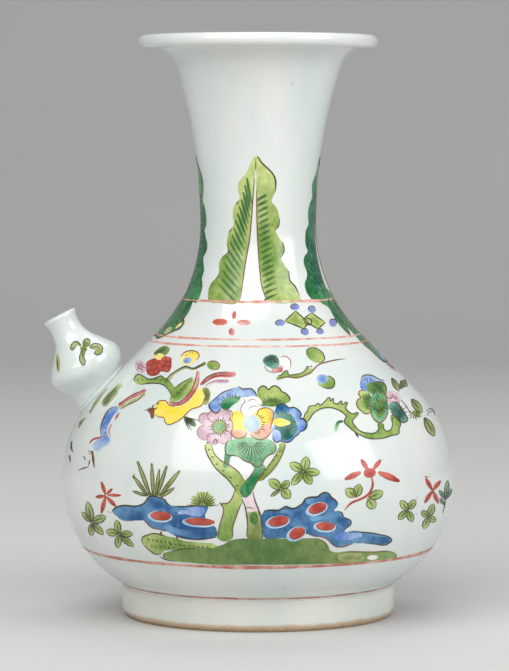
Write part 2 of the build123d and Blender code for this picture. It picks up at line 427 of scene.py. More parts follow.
def cut_across(bm, place, normal, keep_outer):
    """Cuts a hollow shell by a plane, keeps one side, and closes the cut between its outer and inner skins."""
    cut = bmesh.ops.bisect_plane(
        bm,
        geom=bm.verts[:] + bm.edges[:] + bm.faces[:],
        dist=0.0005 * MM,
        plane_co=place,
        plane_no=normal,
        clear_inner=keep_outer,
        clear_outer=not keep_outer,
    )
    rims = [g for g in cut["geom_cut"] if isinstance(g, bmesh.types.BMEdge) and g.is_boundary]
    for face in bmesh.ops.bridge_loops(bm, edges=rims)["faces"]:
        face.smooth = False
    for edge in rims:
        edge.smooth = False
    bmesh.ops.recalc_face_normals(bm, faces=bm.faces)


def make_section(name, wall, low, high):
    """One thrown section of the wall, in place of its CAD node."""
    bm = wall.copy()
    for level, keep_above in ((high, False), (low, True)):
        if level is not None:
            cut_across(bm, (0, 0, level * MM), (0, 0, 1), keep_above)
    piece = put_in_place(name + "_glazed", bm, body_porcelain, name)
    print(name, "faces:", len(piece.data.polygons))


wall = bmesh.new()
rim_point = draw_outside(wall, PAINT_ROOM, OUTER_ROW)
rim_point = draw_lip(wall, rim_point)
floor_point = draw_inside(wall, rim_point, INNER_ROW)
foot_radius = wall.verts[:][0].co.x / MM
lines_to(wall, floor_point, (0, FLOOR_UNDER, 1), (45, FLOOR_UNDER, 6), (foot_radius, FLOOR_UNDER, 1))
spin_round(wall, ROUND)
make_section("lower_body", wall, None, SEAM_BELLY)
make_section("upper_body", wall, SEAM_BELLY, SEAM_NECK)
make_section("neck", wall, SEAM_NECK, None)
vessel_skin = BVHTree.FromBMesh(wall)
wall.free()

# %% [markdown]
# ## The foot ring and the hidden seams
#
# The foot ring is a separate ring of clay, stuck under the belly with slip. Its outside is turned with a flat
# tool and its lower edge is rounded off by a wet sponge. The glaze runs down the belly and pools in the corner
# above the foot, so a small hollow fillet of glaze stands for the outside of that joint. The other seams of slip
# lie inside the wall, where only a soft bead of squeezed-out clay shows, as a ring inside the vessel.

# %% Turn the foot ring
def make_foot_ring():
    """The ring that the vessel stands on."""
    bm = bmesh.new()
    point = start_at(bm, 42.5, 11.2)
    point = lines_to(bm, point, (42.5, 1.4, 5), (43.1, 0.35, 2), (43.9, 0, 1), (46.4, 0, 2), (46.6, 0, 1))
    point = arc_to(bm, point, (44.656, 3.2), 58.72, 0.5)
    lines_to(bm, point, (48.4, 10.5, 6), (48.25, 10.95, 1), (47.9, 11.2, 1), (42.5, 11.2, 3))
    spin_round(bm, ROUND)
    put_in_place("foot_ring_glazed", bm, foot_porcelain, "foot_ring")


def make_foot_joint():
    """The slip over the foot ring, and the glaze that pools in the corner outside it."""
    bm = bmesh.new()
    point = start_at(bm, 43.4, 11.2)
    point = lines_to(bm, point, (47.9, 11.1, 1), (48.3, 10.9, 1))
    point = arc_to(bm, point, (49.9, 11.05), -62, 0.25)
    lines_to(bm, point, (48.9, 12.6, 1), (48.0, 11.8, 1), (43.4, 11.65, 1), (43.4, 11.2, 1))
    spin_round(bm, ROUND)
    put_in_place("foot_joint", bm, body_porcelain, "foot_slip")


make_foot_ring()
make_foot_joint()
print("foot made")

# %% Squeeze the slip out inside the seams
def make_seam(name, node, level, outer, inner, bead):
    """A ring of slip between two sections, with its uneven bead on the inside."""
    bm = bmesh.new()
    middle = inner + 0.1
    point = start_at(bm, outer, level - 0.15)
    point = lines_to(bm, point, (outer, level + 0.15, 1), (middle, level + bead, 2))
    point = arc_to(bm, point, (middle, level), 180, bead / 3)
    line_to(bm, point, outer, level - 0.15, steps=2)
    spin_round(bm, ROUND)
    for vertex in bm.verts:
        across = vertex.co.to_2d().length
        if across < inner * MM:
            squeeze = noise.noise(vertex.co * 90) * 0.25 * MM
            vertex.co.x *= 1 + squeeze / across
            vertex.co.y *= 1 + squeeze / across
    put_in_place(name, bm, fired_slip, node)


make_seam("belly_seam", "belly_slip", SEAM_BELLY, 69.0, 66.3, 1.0)
make_seam("neck_seam", "neck_slip", SEAM_NECK, 27.0, 25.2, 1.0)
print("seams made")

# %% [markdown]
# ## The spout
#
# The spout is a second small pot: a round bulb with a short flared nozzle. It is thrown by itself, and set on the
# shoulder at a slant over a hole. Its outline is drawn upright, with its mouth at the origin, spun, and then
# turned into its place. Where it meets the shoulder, the potter draws a wet finger round the joint, which leaves a
# small hollow fillet. That fillet follows the line in which the two round skins meet, found by nearest-point
# searches.

# %% Turn the spout
SPOUT_TILT = 28.0
SPOUT_MOUTH = (-70.63, 0, 106.19)
NOZZLE_SEAM = 9.2
SPOUT_ROUND = 96
SPOUT_BORE = 3.4
SPOUT_ROOT = 9.2
FLARE_CENTRE, FLARE_ARC = (15.85, -4.8), 10.5
BULB_CENTRE, BULB_ARC = (8.15, -20.3), 5.3
ROOT_CENTRE, ROOT_ARC = (12.7, -29.0), 3.5


def spout_place():
    """Turns an upright outline at the origin into the spout's place on the shoulder."""
    place = Matrix.Translation(Vector(SPOUT_MOUTH) * MM)
    return place @ Matrix.Rotation(-math.radians(SPOUT_TILT), 4, "Y")


def draw_spout_outside(bm, point, row):
    """The spout's outer outline, from the edge of its mouth down to its root."""
    point = arc_to(bm, point, FLARE_CENTRE, 62.0, row)
    point = line_to(bm, point, *point_on(BULB_CENTRE, BULB_ARC, 39.6), steps=3)
    point = arc_to(bm, point, BULB_CENTRE, -75.7, row)
    point = line_to(bm, point, *point_on(ROOT_CENTRE, ROOT_ARC, 143.9), steps=2)
    return arc_to(bm, point, ROOT_CENTRE, 36.1, row)


def draw_spout_mouth(bm):
    """The bore and the rounded lip of the nozzle, up to the start of its outer outline."""
    point = start_at(bm, SPOUT_BORE, -NOZZLE_SEAM - 1.0)
    point = lines_to(bm, point, (SPOUT_BORE, -3.2, 5), (3.6, -2.2, 1), (4.75, -0.8, 2), (4.95, -0.35, 1))
    point = lines_to(bm, point, (5.25, -0.08, 1), (5.55, -0.08, 1), (5.95, -0.35, 1))
    return line_to(bm, point, *point_on(FLARE_CENTRE, FLARE_ARC, 157.6))


def make_spout_mesh():
    """The whole spout as one closed shell, upright at the origin."""
    bm = bmesh.new()
    point = draw_spout_mouth(bm)
    point = draw_spout_outside(bm, point, 0.7)
    point = lines_to(bm, point, (SPOUT_ROOT, -36, 6), (6.6, -36, 2), (6.6, -29, 3))
    point = lines_to(bm, point, (10.4, -22.2, 4), (10.4, -18.4, 2))
    line_to(bm, point, SPOUT_BORE, -NOZZLE_SEAM - 1.0, steps=4)
    spin_round(bm, SPOUT_ROUND)
    bmesh.ops.transform(bm, matrix=spout_place(), verts=bm.verts)
    return bm


spout = make_spout_mesh()
spout_skin = BVHTree.FromBMesh(spout)
spout_axis = spout_place().to_3x3() @ Vector((0, 0, 1))
print("spout faces:", len(spout.faces))

# %% Cut the nozzle from the bulb
seam_point = spout_place() @ (Vector((0, 0, -NOZZLE_SEAM)) * MM)
seat_normal = Vector((-1, 0, 1)).normalized()
seat_point = Vector((-56.5, 0, 79.61)) * MM - seat_normal * 1.3 * MM

nozzle = spout.copy()
cut_across(nozzle, seam_point, spout_axis, keep_outer=True)
put_in_place("spout_nozzle_glazed", nozzle, body_porcelain, "spout_nozzle")

bulb = spout.copy()
cut_across(bulb, seam_point, spout_axis, keep_outer=False)
cut_across(bulb, seat_point, seat_normal, keep_outer=True)
put_in_place("spout_bulb_glazed", bulb, body_porcelain, "spout_bulb")
spout.free()

ring = bmesh.new()
ring_point = start_at(ring, 3.25, -NOZZLE_SEAM - 0.3)
ring_point = lines_to(ring, ring_point, (6.05, -NOZZLE_SEAM - 0.15, 2), (6.05, -NOZZLE_SEAM + 0.15, 1))
lines_to(ring, ring_point, (3.25, -NOZZLE_SEAM + 0.3, 2), (3.25, -NOZZLE_SEAM - 0.3, 1))
spin_round(ring, SPOUT_ROUND)
bmesh.ops.transform(ring, matrix=spout_place(), verts=ring.verts)
put_in_place("nozzle_seam", ring, fired_slip, "nozzle_slip")
print("nozzle and bulb made")

# %% [markdown]
# ## Where the glaze is
#
# The fillet and all the painting need to know exactly where the glaze is. Search trees over the spun faces answer
# two questions: which face does a line of sight meet, and which is nearest. The faces are small flats, so the
# answer is then moved out to the true round wall, whose radius at any height follows from the arcs of the
# outline. Without that, the enamel would copy every flat of the mesh, and its shine would break up.

# %% Find the glaze
def wall_radius(height):
    """The radius of the glazed wall at a height, both in millimetres."""
    belly, shoulder, trumpet = BELLY_ARC - PAINT_ROOM, SHOULDER_ARC + PAINT_ROOM, TRUMPET_ARC + PAINT_ROOM
    slope_low = point_on(BELLY_CENTRE, belly, SLOPE)
    slope_high = point_on(SHOULDER_CENTRE, shoulder, 180 + SLOPE)
    if height < slope_low[1]:
        return BELLY_CENTRE[0] + math.sqrt(belly**2 - (height - BELLY_CENTRE[1]) ** 2)
    if height < slope_high[1]:
        return slope_low[0] - (height - slope_low[1])
    if height < SHOULDER_CENTRE[1]:
        return SHOULDER_CENTRE[0] - math.sqrt(shoulder**2 - (height - SHOULDER_CENTRE[1]) ** 2)
    return TRUMPET_CENTRE[0] - math.sqrt(trumpet**2 - (height - TRUMPET_CENTRE[1]) ** 2)


def on_wall(degrees, height):
    """A point of the glaze at an angle round the axis and a height in millimetres, and the way out of the wall."""
    turn = math.radians(degrees)
    radius = wall_radius(height)
    slope = (wall_radius(height + 0.2) - wall_radius(height - 0.2)) / 0.4
    out = Vector((math.cos(turn), math.sin(turn), -slope)).normalized()
    return Vector((radius * math.cos(turn), radius * math.sin(turn), height)) * MM, out


print("radius at the belly, mm:", round(wall_radius(BELLY_CENTRE[1]), 2))

# %% Smooth the joint of spout and shoulder
def spout_radius(depth):
    """The radius of the spout's lower part at a depth behind its mouth."""
    if depth >= -ROOT_CENTRE[1]:
        return SPOUT_ROOT
    if depth >= 26.94:  # the hollow curve above the root
        return ROOT_CENTRE[0] - math.sqrt(ROOT_ARC**2 - (depth + ROOT_CENTRE[1]) ** 2)
    if depth >= 23.42:  # the straight run between the two curves
        return 9.87 + (26.94 - depth) * 0.728
    return BULB_CENTRE[0] + math.sqrt(BULB_ARC**2 - (depth + BULB_CENTRE[1]) ** 2)


def joint_points(turn, reach):
    """Three points of the joint at one angle: on the spout, in the corner, and on the shoulder."""
    def at_depth(depth):
        radius = spout_radius(depth)
        return spout_place() @ (Vector((radius * math.cos(turn), radius * math.sin(turn), -depth)) * MM)

    depth = 17.5
    while True:
        corner = at_depth(depth)
        place, normal, _, _ = vessel_skin.find_nearest(corner)
        if (corner - place).dot(normal) < 0:
            break
        depth += 0.05
    outwards = spout_place().to_3x3() @ Vector((math.cos(turn), math.sin(turn), 0))
    along = (outwards - normal * outwards.dot(normal)).normalized()
    landing, landing_normal, _, _ = vessel_skin.find_nearest(corner + along * reach * MM)
    return at_depth(depth - reach), corner, landing, outwards, landing_normal


def make_spout_joint(reach):
    """The hollow fillet of slip and glaze round the root of the spout."""
    rows, tuck = 8, 0.3 * MM
    bm = bmesh.new()
    first = start_at(bm, 10, 0)
    last = line_to(bm, first, 10, -(rows + 2), steps=rows + 2)
    bm.edges.new((last, first))
    spin_round(bm, SPOUT_ROUND)
    found, hem = {}, set()
    for vertex in bm.verts:
        turn = round(math.atan2(vertex.co.y, vertex.co.x), 4)
        if turn not in found:
            found[turn] = joint_points(turn, reach)
        upper, corner, landing, outwards, normal = found[turn]
        row = round(-vertex.co.z / MM)
        if row in (1, rows + 1):
            hem.add(vertex)
        if row == 0:
            vertex.co = upper - outwards * tuck
        elif row == rows + 2:
            vertex.co = landing - normal * tuck
        else:
            share = (row - 1) / rows
            vertex.co = upper.lerp(corner, share).lerp(corner.lerp(landing, share), share) + normal * 0.01 * MM
    bmesh.ops.recalc_face_normals(bm, faces=bm.faces)
    for edge in bm.edges:
        edge.smooth = not hem.issuperset(edge.verts)
    put_in_place("spout_joint", bm, body_porcelain, "spout_root_slip")


make_spout_joint(2.0)
print("spout joint made")

# %% [markdown]
# ## The enamels
#
# The painter grinds coloured glass, mixes it with oil and lays it over the fired glaze, and a second, cooler firing
# melts it on. Green, blue, yellow and purple enamels are clear glass: they look deeper where they pooled and paler
# where the brush left little. Iron red and the dark outlines are nearly dry and opaque. So one node group turns
# two things into a colour: how far a point is from the edge of its brush mark, which each mark stores in an
# attribute called pool, and a slow noise for the unsteady load of the brush.

# %% The group for the enamels
def make_enamel_group():
    """Coloured glass over white: paler at the edge of a brush mark, deeper where it pooled, with fine bubbles."""
    group = bpy.data.node_groups.new("pooled enamel", "ShaderNodeTree")
    value_socket(group, "Thin", "INPUT", "NodeSocketColor", colour(150, 190, 90))
    value_socket(group, "Thick", "INPUT", "NodeSocketColor", colour(60, 110, 40))
    value_socket(group, "Unsteady", "INPUT", "NodeSocketFloat", 0.6)
    value_socket(group, "Gloss", "INPUT", "NodeSocketFloat", 0.14)
    value_socket(group, "Color", "OUTPUT", "NodeSocketColor")
    value_socket(group, "Roughness", "OUTPUT", "NodeSocketFloat")
    value_socket(group, "Height", "OUTPUT", "NodeSocketFloat")
    inputs = group.nodes.new("NodeGroupInput").outputs
    outputs = group.nodes.new("NodeGroupOutput").inputs
    place = group.nodes.new("ShaderNodeTexCoord").outputs["Object"]
    pool = add_node(group, "ShaderNodeAttribute", attribute_name="pool").outputs["Fac"]
    load = spread(group, noise_at(group, place, 210, 3, 0.6), 0.28, 0.72)
    slant = {"Vector": place, "Scale": (1, 1, 0.4), "Rotation": (0, 0.5, 0.3)}
    streak_place = add_node(group, "ShaderNodeMapping", slant).outputs["Vector"]
    streaks = spread(group, noise_at(group, streak_place, 900, 2), 0.3, 0.75)
    wander = maths(group, "ADD", maths(group, "MULTIPLY", load, 0.75), maths(group, "MULTIPLY", streaks, 0.25))
    swing = maths(group, "MULTIPLY", maths(group, "SUBTRACT", wander, 0.5), inputs["Unsteady"])
    depth = maths(group, "ADD", maths(group, "ADD", maths(group, "MULTIPLY", pool, 0.8), 0.2), swing, clamp=True)
    group.links.new(mix_colours(group, depth, inputs["Thin"], inputs["Thick"]), outputs["Color"])
    bubbles = add_node(group, "ShaderNodeTexVoronoi", {"Vector": place, "Scale": 1500.0}).outputs["Distance"]
    dull = maths(group, "MULTIPLY", spread(group, bubbles, 0.18, 0.05), 0.12)
    group.links.new(maths(group, "ADD", inputs["Gloss"], dull), outputs["Roughness"])
    wavy = maths(group, "MULTIPLY", noise_at(group, place, 420, 2), 0.5)
    pits = maths(group, "MULTIPLY", spread(group, bubbles, 0.2, 0.04), -0.25)
    group.links.new(maths(group, "ADD", wavy, pits), outputs["Height"])
    return group


enamel_group = make_enamel_group()
enamels = {}


def make_enamel(name, thin, thick, unsteady=0.6, gloss=0.14):
    """One enamel, from its paler and its deeper colour, and where it needs them how unsteady and how dull it is."""
    material, tree, shader = new_material(name)
    glass = place_group(tree, enamel_group, {"Thin": thin, "Thick": thick, "Unsteady": unsteady, "Gloss": gloss})
    tree.links.new(glass.outputs["Color"], shader.inputs["Base Color"])
    tree.links.new(glass.outputs["Roughness"], shader.inputs["Roughness"])
    tree.links.new(bump(tree, glass.outputs["Height"], 0.00006), shader.inputs["Normal"])
    shader.inputs["IOR"].default_value = 1.52
    enamels[name] = material


enamel_colours = [
    ("apple_green", (206, 216, 138), (110, 146, 62)),
    ("leaf_green", (140, 170, 96), (58, 106, 48)),
    ("grass_green", (146, 168, 94), (84, 118, 60)),
    ("olive_green", (192, 198, 132), (110, 122, 58)),
    ("emerald", (160, 210, 166), (26, 116, 64)),
    ("deep_green", (84, 150, 100), (14, 92, 48)),
    ("teal", (130, 178, 162), (26, 90, 80)),
    ("blue", (110, 160, 200), (16, 80, 134)),
    ("sky_blue", (204, 220, 238), (84, 126, 198)),
    ("pale_blue", (220, 230, 240), (156, 190, 222)),
    ("violet_blue", (150, 160, 212), (74, 84, 150)),
    ("yellow", (248, 238, 168), (248, 214, 58), 0.4),
    ("orange", (250, 214, 138), (232, 158, 72)),
    ("salmon", (244, 206, 184), (222, 144, 112)),
    ("lilac", (242, 228, 230), (194, 154, 172)),
    ("rose", (230, 180, 174), (184, 96, 92), 0.9),
    ("iron_red", (216, 112, 92), (164, 42, 36), 0.7, 0.3),
    ("ring_red", (240, 210, 198), (208, 134, 116), 1.3, 0.34),
    ("ring_rust", (232, 196, 182), (190, 112, 90), 1.3, 0.34),
    ("line_brown", (150, 92, 58), (96, 50, 30), 0.6, 0.34),
    ("line_dark", (84, 78, 50), (36, 34, 22), 0.6, 0.3),
    ("white", (246, 246, 242), (232, 234, 230), 0.3),
]
for name, thin, thick, *more in enamel_colours:
    make_enamel(name, colour(*thin), colour(*thick), *more)
print("enamels:", len(enamels))

# %% [markdown]
# ## The brush
#
# Two kinds of brush mark make up the whole painting. A wash is a closed outline through a few given points,
# filled, and cut into small cells so that it can bend. A stroke is a curve with a round section and a radius of
# its own at every point, so it swells and tapers as a brush line does. Both are made flat, in the plane of the
# picture, and then each of their points is laid on the wall along the line of sight. A wash stands a twentieth of
# a millimetre proud of the glaze, and a stroke a little more, so that they catch the light as enamel does.

# %% Lay flat drawings on the wall
CELL = 2.2  # of a wash, in pixels of the picture
WASH_HEIGHT, STROKE_HEIGHT, STROKE_SWELL, HIGHEST = 0.05, 0.1, 0.085, 0.18  # above the glaze, in millimetres
LAYER = 0.012  # from one level to the next
POOL_REACH, EDGE_REACH = 4.5, 1.5  # how far from its edge a wash goes on getting deeper, and thicker


def sight(x, y):
    """The direction from the eye through a point of the picture."""
    right = (x - PICTURE[0] / 2) / FOCUS
    up = (PICTURE[1] / 2 - y) / FOCUS
    lean = Vector((0, math.cos(EYE_PITCH), -math.sin(EYE_PITCH)))
    rise = Vector((0, math.sin(EYE_PITCH), math.cos(EYE_PITCH)))
    return (Vector((right, 0, 0)) + rise * up + lean).normalized()


def on_picture(x, y):
    """The point of the glaze that is seen at a point of the picture, or the nearest one to that line of sight."""
    line = sight(x, y)
    place = vessel_skin.ray_cast(EYE, line)[0]
    if place is None:
        place = vessel_skin.find_nearest(EYE - line * (EYE.y / line.y))[0]
    return on_wall(math.degrees(math.atan2(place.y, place.x)), place.z / MM)


def on_spout(x, y):
    """The same for the glaze of the spout."""
    line = sight(x, y)
    place, out, _, _ = spout_skin.ray_cast(EYE, line)
    if place is None:
        place, out, _, _ = spout_skin.find_nearest(EYE - line * (EYE.y / line.y))
    return place, out


def mesh_of_curve(curve):
    """The mesh of a curve, as a bmesh, before it gets its place."""
    holder = bpy.data.objects.new("drawing", curve)
    mesh = bpy.data.meshes.new_from_object(holder)
    bm = bmesh.new()
    bm.from_mesh(mesh)
    bpy.data.objects.remove(holder)
    bpy.data.curves.remove(curve)
    bpy.data.meshes.remove(mesh)
    return bm


def add_spline(curve, points, radii, closed):
    """A smooth spline through given points."""
    spline = curve.splines.new("BEZIER")
    spline.bezier_points.add(len(points) - 1)
    for knot, (x, y), radius in zip(spline.bezier_points, points, radii):
        knot.co = (x, y, 0)
        knot.radius = radius
        knot.handle_left_type = knot.handle_right_type = "AUTO"
    spline.use_cyclic_u = closed


def make_wash(points, surface, level=0, deep=None):
    """A pool of enamel in a smooth closed outline. It is deepest at deep, or palest there if its reach is below 0."""
    curve = bpy.data.curves.new("outline", "CURVE")
    curve.dimensions = "2D"
    curve.fill_mode = "NONE"
    curve.resolution_u = 5
    add_spline(curve, points, [1] * len(points), True)
    bm = mesh_of_curve(curve)
    bmesh.ops.remove_doubles(bm, verts=bm.verts, dist=0.02)
    rim = KDTree(len(bm.edges) * 2)
    for index, edge in enumerate(bm.edges):
        rim.insert(edge.verts[0].co, 2 * index)
        rim.insert((edge.verts[0].co + edge.verts[1].co) / 2, 2 * index + 1)
    rim.balance()
    bmesh.ops.edgeloop_fill(bm, edges=bm.edges)
    for axis in (0, 1):
        values = [v.co[axis] for v in bm.verts]
        cuts = int((max(values) - min(values)) / CELL)
        normal = Vector((axis == 0, axis == 1, 0))
        for cut in range(cuts):
            level_at = min(values) + (cut + 0.5) * CELL
            geometry = bm.verts[:] + bm.edges[:] + bm.faces[:]
            bmesh.ops.bisect_plane(bm, geom=geometry, dist=0.01, plane_co=normal * level_at, plane_no=normal)
    bmesh.ops.triangulate(bm, faces=bm.faces)
    pool = bm.verts.layers.float.new("pool")
    top = WASH_HEIGHT + LAYER * level
    for vertex in bm.verts:
        inside = rim.find(vertex.co)[2]
        vertex[pool] = 0.75 * min(inside / POOL_REACH, 1)
        if deep:
            share = min(math.dist(vertex.co[:2], deep[:2]) / abs(deep[2]), 1)
            vertex[pool] = share if deep[2] < 0 else 1 - share
        place, out = surface(vertex.co.x, vertex.co.y)
        vertex.co = place + out * (top - LAYER * max(0, 1 - inside / EDGE_REACH)) * MM
    bm.normal_update()
    largest = max(bm.faces, key=lambda face: face.calc_area())
    middle = largest.calc_center_median()
    if largest.normal.dot(middle - Vector((0, 0, middle.z))) < 0:
        bmesh.ops.reverse_faces(bm, faces=bm.faces)
    return bm


def make_strokes(marks, surface, level):
    """Brush lines of one enamel: each is a width and its points."""
    curve = bpy.data.curves.new("strokes", "CURVE")
    curve.dimensions = "3D"
    curve.bevel_depth = 1.0
    curve.bevel_resolution = 1
    curve.use_fill_caps = True
    curve.resolution_u = 3
    for width, points in marks:
        if len(points) == 2:
            (x0, y0), (x1, y1) = points
            points = [points[0], ((x0 + x1) / 2, (y0 + y1) / 2), points[1]]
        radii = [width / 2] * len(points)
        radii[0] *= 0.55
        radii[-1] *= 0.3
        add_spline(curve, points, radii, False)
    bm = mesh_of_curve(curve)
    pool = bm.verts.layers.float.new("pool")
    base = STROKE_HEIGHT + LAYER * level
    for vertex in bm.verts:
        rise = vertex.co.z
        vertex[pool] = max(0, min(rise, 1))
        place, out = surface(vertex.co.x, vertex.co.y)
        vertex.co = place + out * max(0, min(base + STROKE_SWELL * rise, HIGHEST)) * MM
    bmesh.ops.recalc_face_normals(bm, faces=bm.faces)
    return bm


print("brush ready")

# %% Paint a whole motif
DARK, BROWN = "line_dark", "line_brown"  # the two enamels for outlines


def paint(name, surface, washes, strokes):
    """One object for a motif. Washes are (enamel, points, level, deep), and the last two may be left out. Strokes are
    (enamel, width, points)."""
    whole = bmesh.new()
    used = []
    parts = [(enamel, make_wash(points, surface, *more)) for enamel, points, *more in washes]
    for enamel in dict.fromkeys(stroke[0] for stroke in strokes):
        marks = [(width, points) for kind, width, points in strokes if kind == enamel]
        parts.append((enamel, make_strokes(marks, surface, 1 if enamel.startswith("line") else 0)))
    for enamel, part in parts:
        if enamel not in used:
            used.append(enamel)
        for face in part.faces:
            face.material_index = used.index(enamel)
            face.smooth = True
        mesh = bpy.data.meshes.new("part")
        part.to_mesh(mesh)
        part.free()
        whole.from_mesh(mesh)
        bpy.data.meshes.remove(mesh)
    piece = add_object(name, whole, [enamels[enamel] for enamel in used])
    print(name, "faces:", len(piece.data.polygons))
    return piece


def path(*numbers):
    """Points of the picture, written as x, y, x, y and so on."""
    return list(zip(numbers[::2], numbers[1::2]))


def lines(enamel, width, *marks):
    """Strokes of one enamel and one width."""
    return [(enamel, width, points) for points in marks]


def oval(x, y, width, height, tilt=0):
    """Eight points of an oval outline."""
    turn = math.radians(tilt)
    corners = [(math.cos(k * math.pi / 4) * width / 2, math.sin(k * math.pi / 4) * height / 2) for k in range(8)]
    across, down = math.cos(turn), math.sin(turn)
    return [(x + a * across - b * down, y + a * down + b * across) for a, b in corners]


def leaf(base, tip, width, belly=0.5):
    """The outline of a small leaf from its stalk to its tip."""
    (x0, y0), (x1, y1) = base, tip
    along = Vector((x1 - x0, y1 - y0))
    side = Vector((-along.y, along.x)).normalized() * width / 2
    start = Vector(base)
    near, far = belly * 0.45, belly + 0.3
    places = path(0, 0, near, 0.75, belly, 1, far, 0.7, 1, 0, far, -0.7, belly, -1, near, -0.75)
    return [tuple(start + along * a + side * b) for a, b in places]


def rim(outline, first, last):
    """The points of an outline from the first to the last, for a line along it. It may run past the start."""
    return (outline + outline)[first:last + 1]


def leaves(enamel, shapes, level=0):
    """Washes and dark lines for small leaves, each given as stalk, tip and width. They are deepest at the stalk."""
    washes, strokes = [], []
    for base, tip, width in shapes:
        edge = leaf(base, tip, width)
        washes.append((enamel, edge, level, (*base, 1.3 * math.dist(base, tip))))
        middle = (base[0] + (tip[0] - base[0]) * 0.75, base[1] + (tip[1] - base[1]) * 0.75)
        strokes += [(DARK, 0.9, [base, middle]), (DARK, 0.85, rim(edge, 0, 4)), (DARK, 0.6, rim(edge, 4, 8))]
    return washes, strokes


print("motif tools ready")

# %% [markdown]
# ## The plantain leaves on the neck
#
# Upright plantain leaves stand round the foot of the neck, as on many vessels of this kind. Each leaf is folded: two
# green halves with a lobed outer edge lean together over a white gap. The nearest leaf is apple green, with dark
# veins brushed in after the wash. The points below follow its outline from the tip down.

# %% Paint the front leaf
left_edge = path(
    256, 156.5, 252, 160, 249.5, 166, 246.5, 172.5, 242, 178, 238.5, 183, 238, 190, 239.5, 198, 235.5, 204,
    233.2, 210, 233, 218, 234, 224, 229.5, 231, 227.5, 238, 227, 246, 228, 252, 222, 257, 219, 264, 219, 272,
    217, 277, 211.5, 283, 208.3, 291, 208, 298, 209.5, 301.5, 220, 303, 239, 302,
)
left_gap = path(
    240, 298, 241.5, 290, 243.5, 275, 246.5, 255, 249.2, 240, 251.2, 220, 252.5, 200, 254, 182, 255.3, 172,
)
right_edge = path(
    258, 156.5, 263, 163, 269, 169, 273.5, 175, 275.5, 182, 275.5, 190, 273, 197, 271.5, 201, 276, 207, 279, 216,
    279, 224, 275.5, 230, 278, 236, 282.5, 243, 284, 250, 281, 258, 284, 264, 288.5, 271, 290, 280, 295, 287,
    299, 294, 300, 300, 290, 303, 275, 303, 267, 300.5,
)
right_gap = path(263.5, 293, 261, 280, 259.5, 270, 258.3, 250, 257.3, 230, 256.8, 210, 256.4, 190, 256.6, 172)


def along(line, share):
    """A point part of the way along a straight line."""
    (x0, y0), (x1, y1) = line
    return x0 + (x1 - x0) * share, y0 + (y1 - y0) * share


def leaf_veins():
    """The dark veins of both halves, brushed from the fold towards the edge."""
    strokes = []
    for k in range(16):
        share = k / 15
        high = along([(247, 178), (219, 284)], share)
        low = along([(251.5, 204), (236, 302)], share)
        strokes.append(("leaf_green", 3.4, [high, along([high, low], 0.55), low]))
        strokes.append((DARK, 0.7, [along([high, low], 0.15), along([high, low], 0.95)]))
    for k in range(18):
        x, y = along([(257, 200), (264.5, 300)], k / 17)
        strokes.append(("leaf_green", 3.2, [(x, y), (x + 4.5, y - 2.6), (x + 9.5 + k * 0.2, y - 6)]))
        strokes.append((DARK, 0.9, [(x, y + 0.6), (x + 4.5, y - 1.6), (x + 10.5, y - 4.4)]))
    return strokes


edge_lines = [
    (DARK, 1.5, path(257, 156, 262, 163, 268, 168.6, 273.5, 175, 275.8, 183, 275, 192)),
    *lines(DARK, 1.2, [(279.3, 219), (278.4, 226), (274.5, 230.5)], [(282.5, 242), (284.2, 250), (281, 258)]),
    (DARK, 1.3, path(288.8, 271, 290, 280.5, 295.5, 287, 299.6, 296)),
    *lines(DARK, 1.1, [(236.2, 204.5), (239, 201)], [(229, 232.5), (232, 228.5)],
        [(227.8, 244), (228.6, 252), (224, 256)], [(215.5, 279.5), (219, 275.5)]),
    *lines(BROWN, 1.1,
        path(254.6, 178, 252.8, 200, 251.4, 220, 249.2, 242, 246.3, 258, 243.5, 277, 240.5, 299),
        path(256.6, 190, 256.8, 215, 258, 245, 259.8, 270, 262.5, 289, 267, 300.5)),
    (DARK, 0.8, [(256, 158), (255.6, 170)]),
]
front_leaf = paint(
    "front_leaf",
    on_picture,
    [
        ("apple_green", left_edge + left_gap, 0, (229, 276, 90)),
        ("apple_green", right_edge + right_gap, 0, (266, 250, 80)),
    ],
    leaf_veins() + edge_lines,
)

# %% [markdown]
# The other leaves stand nearly a quarter turn apart. The one behind is a copy of the front leaf, and the two at the
# sides are the same leaf in a deep green. There a tuft of foliage hangs on below the leaf, over the band under it.
# It is drawn on the unrolled wall, where x is the angle round the vessel and y the height.

# %% Paint the other leaves
def hang_fronds(middle, apart, top, low, bulge):
    """Five small leaves that hang side by side on the unrolled wall, with the middle one longest."""
    places = [k * apart for k in (-2, -1, 0, 1, 2)]
    return [((middle + x, top), (middle + x * 1.1, low - bulge * math.cos(math.radians(4 * x))), 9) for x in places]


def turned_copy(piece, name, degrees, swap):
    """A copy of a painted piece at another side of the vessel, with some of its enamels swapped."""
    bm = bmesh.new()
    bm.from_mesh(piece.data)
    bmesh.ops.rotate(bm, verts=bm.verts, cent=(0, 0, 0), matrix=Matrix.Rotation(math.radians(degrees), 3, "Z"))
    kinds = [enamels[swap.get(material.name, material.name)] for material in piece.data.materials]
    copy = add_object(name, bm, kinds)


side_enamels = {"apple_green": "deep_green", "leaf_green": "teal"}
turned_copy(front_leaf, "back_leaf", 180, {})
turned_copy(front_leaf, "right_leaf", 85, side_enamels)
turned_copy(front_leaf, "left_leaf", -85, side_enamels)

